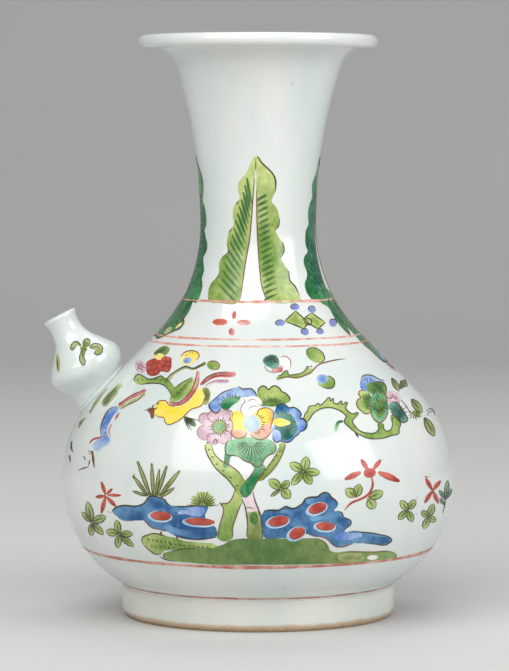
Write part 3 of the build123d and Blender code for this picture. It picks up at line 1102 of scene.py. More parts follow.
right_tuft = path(
    -37, 112.6, -31, 110, -27, 107.6, -25, 105, -21.5, 103.4, -19.5, 100, -20, 97, -17.5, 94.3, -16.5, 91.6,
    -9, 90.2, 3, 91, 12, 92, 17, 95, 18, 99, 22, 103, 27, 106, 30, 110, 37, 112.6, 0, 113.4,
)
left_tuft = path(
    -219, 112.6, -211, 110.5, -208, 107, -204, 104, -206, 101, -198, 99.2, -186, 98.6, -172, 99.4, -160, 98.8,
    -154, 100.4, -147, 102, -143.5, 103.4, -147, 105.6, -152.5, 107, -150.5, 109, -149, 111, -141, 112.8,
    -180, 113.4,
)
frond_washes, frond_lines = leaves("deep_green", hang_fronds(0, 12, 112.6, 99.5, 4.5), 1)
paint(
    "right_tuft",
    on_wall,
    [
        ("deep_green", right_tuft, 0, (0, 90, 40)),
        ("violet_blue", oval(-6, 90.2, 14, 5.4, 8), 1),
        ("iron_red", oval(-7.5, 88.3, 5, 3), 2),
    ] + frond_washes,
    [(enamel, 0.5, points) for enamel, width, points in frond_lines]
    + [(DARK, 0.6, [(-12, 91), (-8, 88.4), (0, 88)]), (DARK, 0.5, rim(right_tuft, 2, 16))],
)
frond_washes, frond_lines = leaves("deep_green", hang_fronds(-180, 14, 112.8, 103, 2), 1)
paint(
    "left_tuft",
    on_wall,
    [
        ("deep_green", left_tuft, 0, (-180, 98, 44)),
        ("yellow", oval(-147.5, 103.6, 5, 1.6, 20), 2),
        ("olive_green", oval(-156, 101.5, 8, 2.6), 2),
    ] + frond_washes,
    [(enamel, 0.5, points) for enamel, width, points in frond_lines]
    + [(BROWN, 0.6, [(-151, 107), (-148, 105.4), (-144, 103.6)]), (DARK, 0.5, rim(left_tuft, 1, 16))],
)
print("side leaves painted")

# %% [markdown]
# ## The rings
#
# To draw a ring, the painter turns the pot on a wheel and holds the brush still. The line still wavers a little,
# and it thins out where the brush ran dry. Each ring here is a narrow strip of four rows. It is spun flat first,
# and then each of its points is laid on the wall, at a height and with a width that wander round the vessel.

# %% Draw the rings
def draw_ring(name, picture_point, width, enamel):
    """A painted ring round the vessel through a point of the picture."""
    height = on_picture(*picture_point)[0].z / MM
    bm = bmesh.new()
    line_to(bm, start_at(bm, 10, 0), 10, 3, steps=3)
    spin_round(bm, 240)
    pool = bm.verts.layers.float.new("pool")
    for vertex in bm.verts:
        row = round(vertex.co.z / MM)
        turn = math.atan2(vertex.co.y, vertex.co.x)
        place = Vector((math.cos(turn), math.sin(turn), height * 0.37))
        brush = width * (1 + 0.45 * noise.noise(place * 5) + 0.2 * noise.noise(place * 17))
        middle = height + 0.16 * noise.noise(place * 1.7 + Vector((4, 0, 0))) * width
        spot, out = on_wall(math.degrees(turn), middle + brush * (row / 3 - 0.5))
        vertex[pool] = 0.5 + 0.7 * noise.noise(place * 3.1 + Vector((0, 7, 0))) + (0.2 if row in (1, 2) else 0)
        vertex.co = spot + out * (0.07 if row in (1, 2) else 0.035) * MM
    if bm.faces[:][0].normal.dot(bm.faces[:][0].calc_center_median()) < 0:
        bmesh.ops.reverse_faces(bm, faces=bm.faces)
    piece = add_object(name, bm, [enamels[enamel]])
    print(name, "at", round(height, 1), "mm")


draw_ring("neck_ring", (256, 302), 0.9, "ring_red")
draw_ring("band_ring_high", (240, 339.5), 0.55, "ring_red")
draw_ring("band_ring_low", (240, 346.5), 0.55, "ring_red")
draw_ring("belly_ring", (260, 567.3), 1.15, "ring_rust")
draw_ring("foot_ring_line", (250, 599.6), 1.2, "ring_rust")

# %% [markdown]
# ## The band under the neck
#
# Between the rings stand small emblems: a blossom of four loose petals in iron red, and a knot of two green
# lozenges with blue beads at their corners. Both are stock ornaments that painters of such wares repeated.

# %% Paint the band
petals = [
    ("iron_red", oval(220, 322, 15, 6.5)),
    ("iron_red", oval(234.2, 315, 4, 8, 8)),
    ("rose", oval(244, 322.5, 14, 5.4)),
    ("rose", oval(231.5, 331.8, 6, 7.6, -12)),
]
petal_lines = [
    ("iron_red", 1.0, [(213.5, 322), (219, 320.5), (226, 321)]),
    ("iron_red", 0.8, [(237.5, 321.5), (243, 320.8), (250, 322)]),
    *lines("iron_red", 0.9, [(230.2, 335), (230.5, 331), (232.5, 328.5)],
        [(233.4, 318.6), (233.6, 315), (235, 311.5)]),
]
left_lozenge = path(285, 321, 290, 315.8, 295.5, 311, 302, 317, 308, 322.6, 306.2, 326, 304, 329, 294, 325)
right_lozenge = path(302, 320, 306, 316.6, 311.5, 313, 318.5, 317.5, 325, 322.6, 321.5, 326, 318, 329, 310, 324.8)
lozenge_lines = []
for corners in (left_lozenge, right_lozenge):
    for k in (0, 2, 4, 6):
        lozenge_lines.append((DARK, 1.3, [corners[k], corners[(k + 2) % 8]]))
lozenge_lines.append((DARK, 1.1, path(304, 322.4, 308.4, 325, 311.6, 321.6, 307.4, 318.4, 304, 322.4)))
beads = [
    (295, 307, 9, 6.2, 0), (312, 309.5, 8, 6.6, 20), (280.3, 323, 10, 6.2, -4), (333, 323, 8, 7.6, 50),
    (305, 332, 8, 6.6, 10), (320.3, 331.6, 7.4, 5.6, 0),
]
bead_washes = [("violet_blue", oval(*bead)) for bead in beads]
bead_lines = [(DARK, 0.8, oval(x, y, w, h, t)[3:8]) for x, y, w, h, t in beads]
front_band = paint(
    "front_band",
    on_picture,
    petals + [("apple_green", left_lozenge), ("apple_green", right_lozenge, 1)] + bead_washes,
    petal_lines + lozenge_lines + bead_lines,
)

# %% [markdown]
# ## The tree between two rocks
#
# The main scene is a short tree with a round crown of large blossoms, between two blue rocks on a green bank. The
# painter lays it from the back to the front, and the order of the washes here is the same: bank, rocks, stems,
# then the crown. A wash that overlaps another one gets a higher level, so that it lies on top of it. Where the
# painter let the colour run out, the wash has a point where it is deepest, and it pales away from there.

# %% Paint the bank
mound = path(
    142, 540, 143, 537, 148, 534.8, 155, 533.4, 162, 535, 166, 536, 176, 538, 185, 541, 195, 542, 205, 543,
    215, 544.5, 216, 548, 200, 548, 182, 549, 172, 550, 164, 551, 161, 554, 155, 554, 150, 550.5, 147, 548,
    143, 543.5,
)
bank = path(
    163, 557, 165, 553, 172, 550.8, 182, 549, 200, 547.6, 222, 545, 231, 540.2, 260, 538.6, 290, 538.6, 310, 538.2,
    318, 538.6, 323, 541, 327, 545, 330, 550.6, 350, 551, 376, 551.8, 386, 551, 395, 553, 397, 556, 393, 559,
    370, 561.4, 350, 562.8, 320, 564, 290, 564.6, 250, 564.6, 210, 564.4, 190, 562.6, 170, 560,
)
bank_washes = [
    ("apple_green", mound, 0, (176, 548, 48)),
    ("grass_green", bank, 0, (262, 552, 130)),
    ("olive_green", path(338, 556, 345, 553.6, 356, 553.4, 364, 555.4, 363, 559.4, 352, 561.6, 341, 561), 1),
    ("white", oval(372.5, 557.4, 11, 4.6, -4), 1),
    ("leaf_green", oval(384, 556, 8, 5.4), 1),
    ("leaf_green", oval(393.5, 556, 4, 5), 1),
]
bank_lines = [
    (DARK, 1.1, rim(mound, 20, 26)),
    *lines(DARK, 0.9, rim(mound, 16, 20), [(160, 557), (166, 559.6), (176, 561.4)]),
    (DARK, 1.0, rim(bank, 2, 4)),
    (BROWN, 2.2, [(160.6, 535.4), (161.6, 531)]),
    (BROWN, 2.0, [(177, 538.6), (177.4, 534.6)]),
    (BROWN, 1.4, [(164.6, 552.6), (163, 557.4)]),
    (BROWN, 1.0, rim(bank, 10, 13)),
    (BROWN, 0.9, rim(bank, 14, 17)),
]
for k in range(9):
    bank_lines.append((DARK, 1.3, [(170 + 4.6 * k, 543.4 + 0.4 * k), (172 + 4.6 * k, 544.8 + 0.4 * k)]))
for k in range(6):
    bank_lines.append((DARK, 1.1, [(148 + 4.2 * k, 538.4 + 0.5 * k), (149.4 + 4.2 * k, 540.6 + 0.8 * k)]))
    bank_lines.append((DARK, 1.0, [(151 + 4.4 * k, 545 + 0.4 * k), (152.4 + 4.4 * k, 547 + 0.4 * k)]))
front_bank = paint("front_bank", on_picture, bank_washes, bank_lines)

# %% [markdown]
# The rocks are worn garden stones, drawn in blue with a dark upper edge. The red patches are the hollows that water
# has eaten into them. Beside each hollow the blue was wiped thin, which leaves a pale edge. The rocks are never one
# even blue: the brush laid it in overlapping patches, so each rock is several washes with their own deep points.

# %% Paint the rocks
left_rock = path(
    112.5, 511.5, 114, 509, 120, 506, 126, 505.4, 132, 506, 137, 506, 142, 504.4, 145, 502.4, 147, 499.4, 149, 497,
    152, 496, 156, 496.5, 161, 498, 165, 500, 167, 503, 170, 505, 176, 506, 184, 506.4, 203, 506, 208, 506.5,
    207, 511, 205, 516, 213, 525, 216, 528, 217, 532, 216, 537, 208, 538.5, 199, 539.6, 190, 539, 181, 537.4,
    174, 535, 166, 531, 158, 529, 151, 527, 147, 523, 144, 520.6, 138, 520, 132, 521, 126, 521, 120, 519, 116, 515,
)
right_rock = path(
    264, 511, 270, 510, 279, 510, 283, 508, 286, 506.4, 289, 507.6, 294, 508.4, 299, 506, 303, 503, 305, 499.4,
    309, 497.4, 318, 496.5, 321, 494, 325, 492.4, 329, 494, 331, 497, 335, 500, 338, 503, 337, 507, 334.4, 510.6,
    338, 511, 342, 513, 343.4, 517, 348, 519, 351, 521.6, 350, 525, 346, 528, 344, 531, 352, 531, 362, 532,
    372, 533, 382, 535, 389, 537, 391.6, 540, 389, 543, 384, 545, 376, 544, 364, 543, 352, 543.6, 346, 546,
    339, 547, 335, 546, 331, 543, 327, 539, 321, 536.6, 314, 536, 308, 534, 303, 535, 300, 538.4, 292, 540,
    288, 538.4, 272, 538.4, 264, 537,
)
rock_washes = [
    ("blue", left_rock, 0, (196, 536, 96)),
    ("blue", right_rock, 0, (276, 500, 130)),
    ("blue", path(
        113, 511, 120, 508, 131, 510, 143, 513, 148, 518, 143, 520, 132, 520, 122, 518,
    ), 1, (136, 519, 22)),
    ("blue", path(
        145, 503, 152, 497.6, 160, 500, 166, 505, 178, 508, 190, 509, 180, 512, 166, 509, 152, 508,
    ), 1, (160, 504, 30)),
    ("sky_blue", path(186, 508, 204, 508, 203, 515, 194, 516, 186, 514, 178, 513), 1, (204, 508, 40)),
    ("blue", path(
        164, 526, 178, 528.6, 192, 531, 208, 528, 215, 533, 212, 537, 196, 538, 180, 535.4, 168, 531,
    ), 1, (204, 535, 34)),
    ("blue", path(306, 500, 318, 498.6, 326, 495, 333, 502, 331, 506, 322, 502, 308, 504), 1, (326, 499, 22)),
    ("blue", path(
        280, 512, 292, 510, 303, 506, 305, 514, 300, 522, 308, 528, 302, 530, 290, 524, 290, 515,
    ), 1, (297, 513, 22)),
    ("blue", path(
        310, 517, 324, 516, 334, 513, 342, 518, 349, 522, 344, 527, 336, 521, 322, 519.6, 312, 521,
    ), 1, (343, 521, 26)),
    ("sky_blue", path(340, 533, 352, 533, 362, 535, 354, 539, 342, 540, 334, 538), 1, (340, 540, 40)),
    ("blue", path(352, 540, 366, 537, 380, 536.6, 390, 540, 384, 543.6, 368, 542, 354, 542.6), 1, (386, 540, 30)),
]
rock_lines = [
    (DARK, 1.4, rim(left_rock, 0, 15)),
    *lines(DARK, 1.1, rim(left_rock, 16, 19), rim(right_rock, 28, 37)),
    *lines(BROWN, 1.0, rim(left_rock, 31, 35), rim(right_rock, 38, 46)),
    (DARK, 1.0, rim(left_rock, 25, 30)),
    (DARK, 1.6, rim(right_rock, 0, 17)),
    (DARK, 1.2, rim(right_rock, 20, 27)),
]
hollow_places = [
    (161, 515.6, 21, 8.6, 4), (200, 521.4, 30, 6.8, 3), (278.5, 521, 21, 9.6, -10), (317.5, 508, 19, 9.6, -20),
    (297, 533, 17, 10.4, -25), (325.5, 526, 19, 7.8, 2),
]
for x, y, width, height, tilt in hollow_places:
    patch = oval(x, y, width, height, tilt)
    pale_edge = oval(x - 1, y + 1, width + 3.6, height + 2.6, tilt)
    rock_washes.append(("pale_blue", pale_edge, 2, (x - width / 2, y + height / 2, width)))
    rock_washes.append(("iron_red", patch, 3, (x + 2, y + 2, 0.8 * width)))
    rock_lines.append((BROWN, 1.0, rim(patch, 0, 4)))
    rock_lines.append((BROWN, 0.7, rim(patch, 5, 7)))
front_rocks = paint("front_rocks", on_picture, rock_washes, rock_lines)

# %% Paint the stems and the lower leaf
left_limb = path(
    205, 445, 206.4, 452, 210, 459.4, 214.4, 466.4, 220.6, 473, 228, 479.6, 234.4, 488, 239.4, 495, 244, 497,
    247, 491, 244.6, 481, 238.6, 472, 231.4, 466.4, 223.6, 462, 218, 458, 213.6, 452, 211.6, 445,
)
right_limb = path(
    279.6, 443.6, 279, 448, 275.6, 455, 270, 463.6, 264, 471, 257, 480, 262, 480.4, 269.4, 473.6, 275.6, 466.4,
    281.4, 456.4, 285, 446, 285.4, 443.6,
)
middle_stem = path(
    251.4, 463.6, 254.4, 469, 250, 476.4, 245.6, 481, 240, 489, 241.4, 494.6, 245, 497.6, 249.6, 495, 253, 489.4,
    257.4, 481, 263, 473.6, 265, 466.4, 259, 463,
)
left_stem = path(
    235, 490, 233, 496.4, 228, 503, 221.6, 504.4, 223.6, 508, 222, 518, 219.4, 526.4, 218, 538.6, 232, 538.6,
    233, 526.4, 235.8, 518, 239.4, 508, 242.2, 502, 240.6, 494,
)
right_stem = path(248.6, 511, 259, 510.4, 261.4, 519, 262.4, 538.6, 248, 538.6, 247.4, 524)
lower_leaf = path(
    233, 439.6, 228.4, 440.8, 226.4, 443.6, 225.2, 449, 227.2, 455, 232.6, 455.4, 238.6, 456.6, 244.4, 460.8,
    252, 463.8, 256, 467, 261.4, 465.4, 264.4, 459.4, 268.6, 455.4, 274.2, 452.6, 276, 447, 270.6, 440.4,
    261.4, 437.6, 250, 437.4, 241, 438,
)
tree_washes = [
    ("apple_green", left_limb, 0, (243, 492, 52)),
    ("apple_green", right_limb, 0, (262, 476, 52)),
    ("apple_green", left_stem, 1, (224, 540, 64)),
    ("lilac", path(
        244.6, 497, 252.6, 494, 256, 502, 259.4, 511, 254, 513.4, 248.4, 512.6, 246.4, 504,
    ), 0, (250, 504, -70)),
    ("olive_green", right_stem, 0, (255, 540, 40)),
    ("leaf_green", oval(253.8, 518.4, 8.4, 13, -4), 1, (253, 518, 20)),
    ("emerald", path(226.4, 452, 224.2, 460, 224.6, 468, 228.8, 465, 230, 458.6, 231.4, 455), 1, (226, 460, 30)),
    ("emerald", middle_stem, 2, (248, 484, 50)),
    ("emerald", lower_leaf, 3, (252, 470, 38)),
    ("emerald", path(242, 438.6, 250, 437.8, 260, 438.2, 259, 441.6, 252, 443, 245, 441.6), 4, (251, 437, -90)),
]
tree_lines = [
    *lines(DARK, 1.1, rim(left_limb, 0, 7), rim(lower_leaf, 1, 6)),
    *lines(BROWN, 1.0, rim(left_limb, 10, 16), rim(left_stem, 8, 12), rim(lower_leaf, 6, 15),
        [(245, 508), (250, 507.6), (254, 509.6)]),
    *lines(BROWN, 1.1, rim(right_limb, 6, 11), rim(left_stem, 0, 7)),
    *lines(BROWN, 0.9, rim(right_limb, 1, 5), rim(middle_stem, 7, 11), rim(middle_stem, 1, 4)),
    *lines(DARK, 1.2, path(242, 499, 245, 506.4, 247, 518, 248, 538),
        path(253, 492, 255, 500.6, 258.8, 510.6, 261.6, 519.4, 262.4, 538)),
    (BROWN, 2.0, [(222.6, 504.8), (219.6, 502.8)]),
]
for k in range(8):
    x, y = left_limb[k][0] + 1.4, left_limb[k][1] - 2
    tree_lines.append((DARK, 1.2, [(x, y), (x + 2.6, y - 0.6)]))
for k in range(6):
    tree_lines.append((DARK, 0.9, [(279 - 3.4 * k, 452 + 4.6 * k), (281.4 - 3.4 * k, 450.6 + 4.6 * k)]))
for k in range(13):
    turn = math.radians(8 + 13.5 * k)
    reach = 13.4 + 4.6 * math.sin(turn) * (1 + 0.2 * (k % 2))
    start = (251.4 + 5 * math.cos(turn), 442 + 4 * math.sin(turn))
    end = (251.4 + reach * math.cos(turn), 442 + reach * 0.9 * math.sin(turn))
    tree_lines.append((DARK, 0.85, [start, end]))
front_tree = paint("front_tree", on_picture, tree_washes, tree_lines)

# %% [markdown]
# ## The crown of blossoms
#
# Large blossoms are crowded into the crown, each in another pair of colours: a blue arc, a yellow-green fan, a
# lilac rosette, a many-coloured one in the middle, and a deep blue one on the right. Their petals are deep at the
# outer edge and pale towards the heart. Over them goes a spray of fine dark stamens, and last a dark broken line.

# %% Paint the blossoms
def rays(enamel, width, centre, inner, outer, first, last, count):
    """Short strokes that spread from a centre, between two angles in degrees counted clockwise from the right."""
    strokes = []
    for k in range(count):
        turn = math.radians(first + (last - first) * k / max(1, count - 1))
        reach = outer * (0.88 + 0.12 * math.cos(2.4 * k))
        start = (centre[0] + inner * math.cos(turn), centre[1] + inner * math.sin(turn))
        end = (centre[0] + reach * math.cos(turn), centre[1] + reach * math.sin(turn))
        strokes.append((enamel, width, [start, end]))
    return strokes


blue_arc = path(
    209, 405, 211, 402, 216, 398, 222, 393, 228, 390.5, 235, 388, 239, 386.6, 242, 389, 246, 389, 251, 389,
    254, 391, 256, 394, 256.6, 397, 250, 397.6, 243, 397, 237, 399, 228, 403, 223, 406, 221, 409, 217, 413,
    211, 410,
)
fan = path(
    258, 400, 257.6, 392, 259, 388.6, 262, 386.2, 265, 386.4, 269, 389.6, 271, 387.4, 274, 386, 277, 386.6,
    280, 389, 281.6, 391.6, 285, 393, 288, 395.6, 290, 399, 289, 402, 285, 403.6, 276, 406.4, 266, 406, 260, 403,
)
rosette_petals = [
    (207, 420, 17, 14, 20), (214.6, 415.8, 14, 11, -6), (224, 416, 14, 12, 14), (228, 426.6, 10, 17, 0),
    (224.6, 437.6, 15, 14, -24), (213.4, 439, 13, 12, 20), (204.6, 433, 15, 15, 6),
]
left_lobe = path(
    234, 412, 239, 411, 244, 415, 244, 424, 246, 431, 246, 435.4, 241, 438, 235, 437.6, 231.6, 433, 233, 427,
    231.6, 420, 232, 414,
)
right_lobe = path(
    254, 413, 257, 411.4, 260, 409.4, 265, 408, 270, 409, 273, 412, 273.4, 417, 271.4, 424, 270, 431, 262, 431,
    256, 428, 258, 420,
)
right_foot = path(
    262, 426, 267, 423.6, 271.6, 425, 271.4, 431, 268, 436, 262, 439.6, 255, 438.6, 250.4, 434.4, 254, 430,
    258, 429,
)
blue_flower = path(
    276, 408, 278, 405.6, 281, 404, 284.6, 404.4, 289, 408, 293, 407.4, 297, 409, 300, 412, 301, 415.4, 299.4, 418,
    303.4, 419, 306, 422, 306.6, 426, 304, 430, 300, 432, 298, 434.6, 294, 437.6, 291, 441, 287, 442.4, 280, 441,
    277, 442.4, 274, 440.6, 272.4, 436, 272, 431, 274, 424, 273, 419, 274, 413,
)
blossoms = [("lilac", oval(x, y, w, h, t), 0, (219.4, 427, -20)) for x, y, w, h, t in rosette_petals]
blossoms += [
    ("olive_green", oval(219.4, 427, 14, 14), 1, (219.4, 427, -12)),
    ("emerald", oval(219.4, 427, 8, 8), 2, (219.4, 427, -9)),
    ("sky_blue", blue_arc, 0, (236, 402, -27)),
    ("emerald", path(
        222, 402, 228, 398, 234, 396.4, 240, 397, 239, 400.6, 233, 405, 228, 409.4, 222, 408.6,
    ), 1, (226, 404, 20)),
    ("apple_green", fan, 0, (276, 387, -22)),
    ("leaf_green", path(
        264, 404.6, 268, 400, 273, 398.4, 279, 399, 282, 402, 277, 405.6, 269, 406,
    ), 1, (272, 406, 12)),
    ("white", path(
        243, 399, 248, 397, 256, 396.6, 260, 399, 262, 404, 258, 410, 252, 414.6, 244, 416, 240, 411, 241, 404,
    ), 2),
    ("yellow", left_lobe, 2, (250, 422, -19)),
    ("salmon", path(
        233, 431, 238, 429.6, 244, 431, 245, 435, 241, 438, 236, 437.6, 232.6, 434.6,
    ), 3, (234, 438, 14)),
    ("yellow", right_lobe, 2, (252, 422, -17)),
    ("orange", path(266, 409, 270, 409.6, 273, 413, 272.6, 419, 271, 426, 268, 425, 269.4, 416), 3, (272, 418, 9)),
    ("salmon", right_foot, 3, (262, 440, 22)),
    # The pale blue heart is palest at its upper left: a painted highlight.
    ("pale_blue", oval(252.4, 424, 15.4, 15.6), 4, (249, 417, -18)),
    ("sky_blue", blue_flower, 1, (283, 423, -22)),
    ("blue", path(276, 408, 281, 405, 286, 406.4, 290, 412, 286, 413, 280, 411.6, 275.4, 414), 2, (282, 407, 14)),
    ("teal", path(
        277, 413.4, 282, 411.6, 288, 413, 293, 417, 296, 423, 297, 430, 293, 436.4, 287, 440, 280, 439, 276, 433,
        275.4, 424,
    ), 2, (286, 434, 26)),
    ("sky_blue", path(272.6, 432, 277, 430, 281, 436, 279, 441, 275, 441.4, 272.8, 437), 3, (274, 441, 12)),
    ("yellow", path(
        273, 421.6, 277, 418.6, 282, 418.4, 287, 420.4, 290.4, 423, 286, 425.6, 280, 426.6, 276, 425.4,
    ), 3, (274, 424, 18)),
]
blossom_lines = rays(DARK, 0.9, (219.4, 427), 6, 11, 0, 345, 22)
blossom_lines += rays(DARK, 0.9, (231.4, 406), 9, 14, -172, -45, 11)
blossom_lines += rays(DARK, 0.9, (271, 408), 6, 13.5, -165, -25, 12)
blossom_lines += rays(DARK, 1.0, (253, 423.6), 8.6, 14, -66, 78, 13)
blossom_lines += rays(DARK, 0.9, (282, 423), 9, 14, -112, 62, 14)
blossom_lines += rays("iron_red", 0.6, (219.4, 427), 12, 16, 20, 330, 9)
for x, y, w, h, t in rosette_petals:
    first = 3 if x < 220 else 6
    blossom_lines.append((BROWN, 0.6, rim(oval(x, y, w, h, t), first, first + 3)))
blossom_lines += [
    *lines(DARK, 1.3, rim(blue_arc, 18, 22), rim(blue_flower, 0, 9)),
    (DARK, 0.9, rim(blue_arc, 1, 5)),
    *lines(DARK, 1.2, rim(blue_arc, 6, 12), rim(fan, 1, 14)),
    *lines(DARK, 1.1, [(213, 443), (216, 439.6), (217, 444)], rim(blue_flower, 14, 22)),
    *lines(BROWN, 0.9, path(223, 409, 228, 410, 232, 412.4, 232, 420), rim(left_lobe, 4, 9),
        rim(right_lobe, 1, 8), rim(right_foot, 3, 7)),
    (BROWN, 0.8, path(244, 399, 245, 402, 243, 404, 240.8, 410.4, 243.6, 415.6)),
    *lines(BROWN, 0.7, [(247, 402), (252, 399.6), (257, 401)], [(248, 409), (253, 406.4), (259, 406.6)]),
    (DARK, 1.7, rim(blue_flower, 9, 14)),
]
front_blossoms = paint("front_blossoms", on_picture, blossoms, blossom_lines)

# %% [markdown]
# ## The yellow bird and its branch
#
# A yellow bird with a green, scaled wing leans down below a branch that comes in from the left, its tail in the
# air. The branch carries a cluster of red berries, a lilac flower and two buds. The scales of the wing are short
# curved strokes.

# %% Paint the yellow bird
bird_body = path(
    154, 409, 156, 404.6, 159, 401.6, 163, 400.6, 166.4, 401.4, 169, 405, 175, 407, 182.6, 405, 190, 400,
    194.6, 391.6, 197.6, 387.6, 201, 388.6, 203.6, 393, 204.4, 398, 202, 405, 196, 408, 192, 409, 186.6, 413.8,
    181.4, 418.8, 175, 422.6, 167.6, 424.4, 165, 421.4, 164, 417.8, 158.8, 417, 155, 414,
)
bird_wing = path(
    174.4, 388.8, 179, 385, 185, 381.2, 192.4, 377.4, 193.8, 383.8, 190, 391.4, 183.8, 397.6, 176, 401.4,
    170.4, 401.6, 171, 395,
)
wing_edge = path(
    169.4, 402, 177, 402.8, 184, 399, 189.4, 393, 193.6, 386, 195.6, 379, 198, 371, 199.4, 379, 197, 388, 192, 396,
    186, 402, 178, 405.4, 171, 405,
)
tail_high = path(
    200.6, 385, 205, 379, 212, 374.6, 220, 372.6, 229, 372, 236, 374, 229, 377.4, 220, 377, 212, 379, 206, 382.6,
)
tail_low = path(203, 387.6, 208, 383.6, 215, 380, 223, 379.6, 229, 381, 222, 383, 214, 383.4, 208, 386.6)
side_feathers = path(203, 388, 206.6, 387.6, 210, 392, 209.4, 399, 206.6, 404.6, 203.4, 404, 204.8, 397)
bird_lines = [
    *lines(BROWN, 0.9, rim(bird_body, 13, 24), rim(bird_body, 1, 6), rim(wing_edge, 7, 12)),
    *lines(BROWN, 1.0, [(149, 410), (144.4, 410.2)], rim(wing_edge, 0, 6)),
    *lines(DARK, 1.0, rim(oval(155, 407, 4.4, 4), 0, 6), rim(bird_wing, 0, 3)),
    *lines(DARK, 0.9, [(156.6, 404.6), (158.6, 403.4), (158.4, 406)], rim(tail_high, 0, 4)),
    *lines(BROWN, 0.8, path(204, 384, 212, 377.6, 222, 375.4, 230, 375),
        [(205, 386), (213, 381.6), (224, 381)]),
]
for row, count in enumerate((5, 5, 4)):
    for k in range(count):
        x, y = 174 + 3.5 * k + 2.4 * row, 398.4 - 3.7 * k - 3.4 * row + 1.2 * row
        bird_lines.append((DARK, 0.8, [(x - 1.4, y - 1.6), (x + 0.8, y - 1.4), (x + 1.2, y + 1.2)]))
bird_lines += rays(DARK, 1.1, (183, 416.6), 3, 17, 14, 66, 7)
bird_lines += rays(DARK, 0.7, (202, 396), 4, 9, -50, 50, 8)
front_bird = paint(
    "front_bird",
    on_picture,
    [
        ("yellow", bird_body, 0, (176, 414, 60)),
        (BROWN, path(147.6, 409.4, 151, 407.6, 154.4, 408.4, 154.6, 412, 152.2, 418.8, 150, 414), 1),
        ("apple_green", bird_wing, 1, (178, 396, 26)),
        ("rose", wing_edge, 2, (186, 398, 40)),
        ("rose", tail_high, 0, (206, 380, 42)),
        ("lilac", tail_low, 1, (226, 381, 22)),
        ("olive_green", side_feathers, 1, (206, 396, 14)),
        ("leaf_green", path(184, 417, 189, 417.4, 194, 421, 196, 426, 190, 424.6, 186, 421), 0, (188, 420, 12)),
    ],
    bird_lines,
)

# %% Paint the branch with the berries
bird_branch = path(
    134, 381, 135, 377.4, 138, 374.4, 143, 376, 148, 379, 153, 379, 158, 377, 161.4, 376, 164, 378, 168, 380.4,
    172, 384, 175.4, 388.6, 172.6, 397.6, 170.4, 392.8, 167, 388, 162, 384.4, 155, 383.4, 148, 383.6, 141, 384.6,
)
berry_ground = path(
    147, 362, 151, 359.4, 157, 357.8, 165, 356.4, 170.4, 358, 171.6, 364, 170, 370, 166, 372, 161, 371.6, 157, 375,
    152, 376, 147.6, 374, 146.4, 368,
)
berries = path(
    164, 358.6, 168.8, 359.4, 151, 362.8, 157, 362, 163, 363.6, 168.8, 364.6, 149.6, 368, 155.4, 367.4,
    161.2, 368.4, 167.2, 369.6, 151.4, 373, 157, 372,
)
bud = path(
    180.6, 361, 181, 357, 184, 353, 189, 351, 194, 351, 198, 353, 199.2, 356.4, 196, 360.4, 190, 364.6, 184, 364,
)
branch_washes = [
    ("apple_green", bird_branch, 0, (162, 381, 46)),
    ("lilac", path(
        135, 366, 137, 361, 141, 360, 144, 363, 148.4, 364, 149, 369, 145, 371, 142, 373, 137.6, 371.6,
    ), 0, (141, 367, 12)),
    ("iron_red", berry_ground, 1, (158, 366, -10)),
    ("leaf_green", path(
        154, 354, 157, 350, 161, 347, 166, 346, 169.4, 348.4, 168.4, 352.4, 164.6, 355.4, 159, 356.6,
    ), 0, (156, 354, 18)),
    ("yellow", path(154.6, 356.6, 157, 353.4, 161, 353.6, 164, 355.6, 162, 359, 157.4, 359.6), 2),
    ("yellow", bud, 0, (197, 352, 22)),
    ("sky_blue", oval(187.6, 360.4, 9, 6, -10), 1, (186, 361, 9)),
    ("apple_green", oval(213.4, 365.6, 12.6, 9, 8), 0, (209, 368, 16)),
    ("olive_green", path(
        166, 380, 170, 375.2, 175, 371.6, 180, 367.8, 186, 365.6, 193, 367.6, 199, 365, 206, 362.8, 200, 367.4,
        193, 370, 186, 368.6, 180, 371, 174, 375.4, 169, 380.6,
    ), 0, (200, 366, 40)),
]
branch_washes += [("iron_red", oval(x, y, 5.2, 5), 2, (x - 0.6, y - 0.6, -3.4)) for x, y in berries]
branch_lines = [(BROWN, 0.7, rim(oval(x, y, 5.2, 5), 7, 12)) for x, y in berries]
branch_lines += [
    *lines(DARK, 1.0, rim(bird_branch, 0, 10), rim(bird_branch, 12, 18)),
    (DARK, 0.8, [(155.6, 355.6), (160, 351.4), (166, 348.4)]),
    (BROWN, 1.0, rim(bud, 1, 7)),
    *lines(DARK, 1.1,
        path(166.4, 379.4, 170, 375.6, 175, 372, 180.4, 368.6, 186.4, 366.6, 193, 368.4, 199.4, 366, 205, 363)),
    *lines(BROWN, 0.9, rim(oval(213.4, 365.6, 12.6, 9, 8), 4, 10),
        [(136.4, 363), (139.4, 366), (137.6, 370)], [(141, 361.6), (142, 366.4), (146.6, 368)],
        [(140, 368), (143.6, 371.6)]),
]
for k in range(7):
    start = (137 + 4.6 * k, 379.6 + 0.2 * k * k - k)
    branch_lines.append((DARK, 1.0, [start, (138.8 + 4.6 * k, 381 + 0.2 * k * k - k)]))
    branch_lines.append((DARK, 0.8, [(155.6 + 1.5 * k, 353 - 0.9 * k), (157 + 1.5 * k, 355.4 - 0.9 * k)]))
branch_lines += rays(BROWN, 0.7, (190.6, 357), 3.4, 6, 200, 330, 5)
front_branch = paint("front_branch", on_picture, branch_washes, branch_lines)

# %% [markdown]
# ## The twigs, leaves and buds on the right
#
# On the right a thorny branch loops out from the crown and ends in a cluster of leaves and small flowers. Above it
# float a budding twig and two loose blossoms. The thorns are part of the outline of the branch, so the wash
# itself is spiky, and the dark line only follows it.

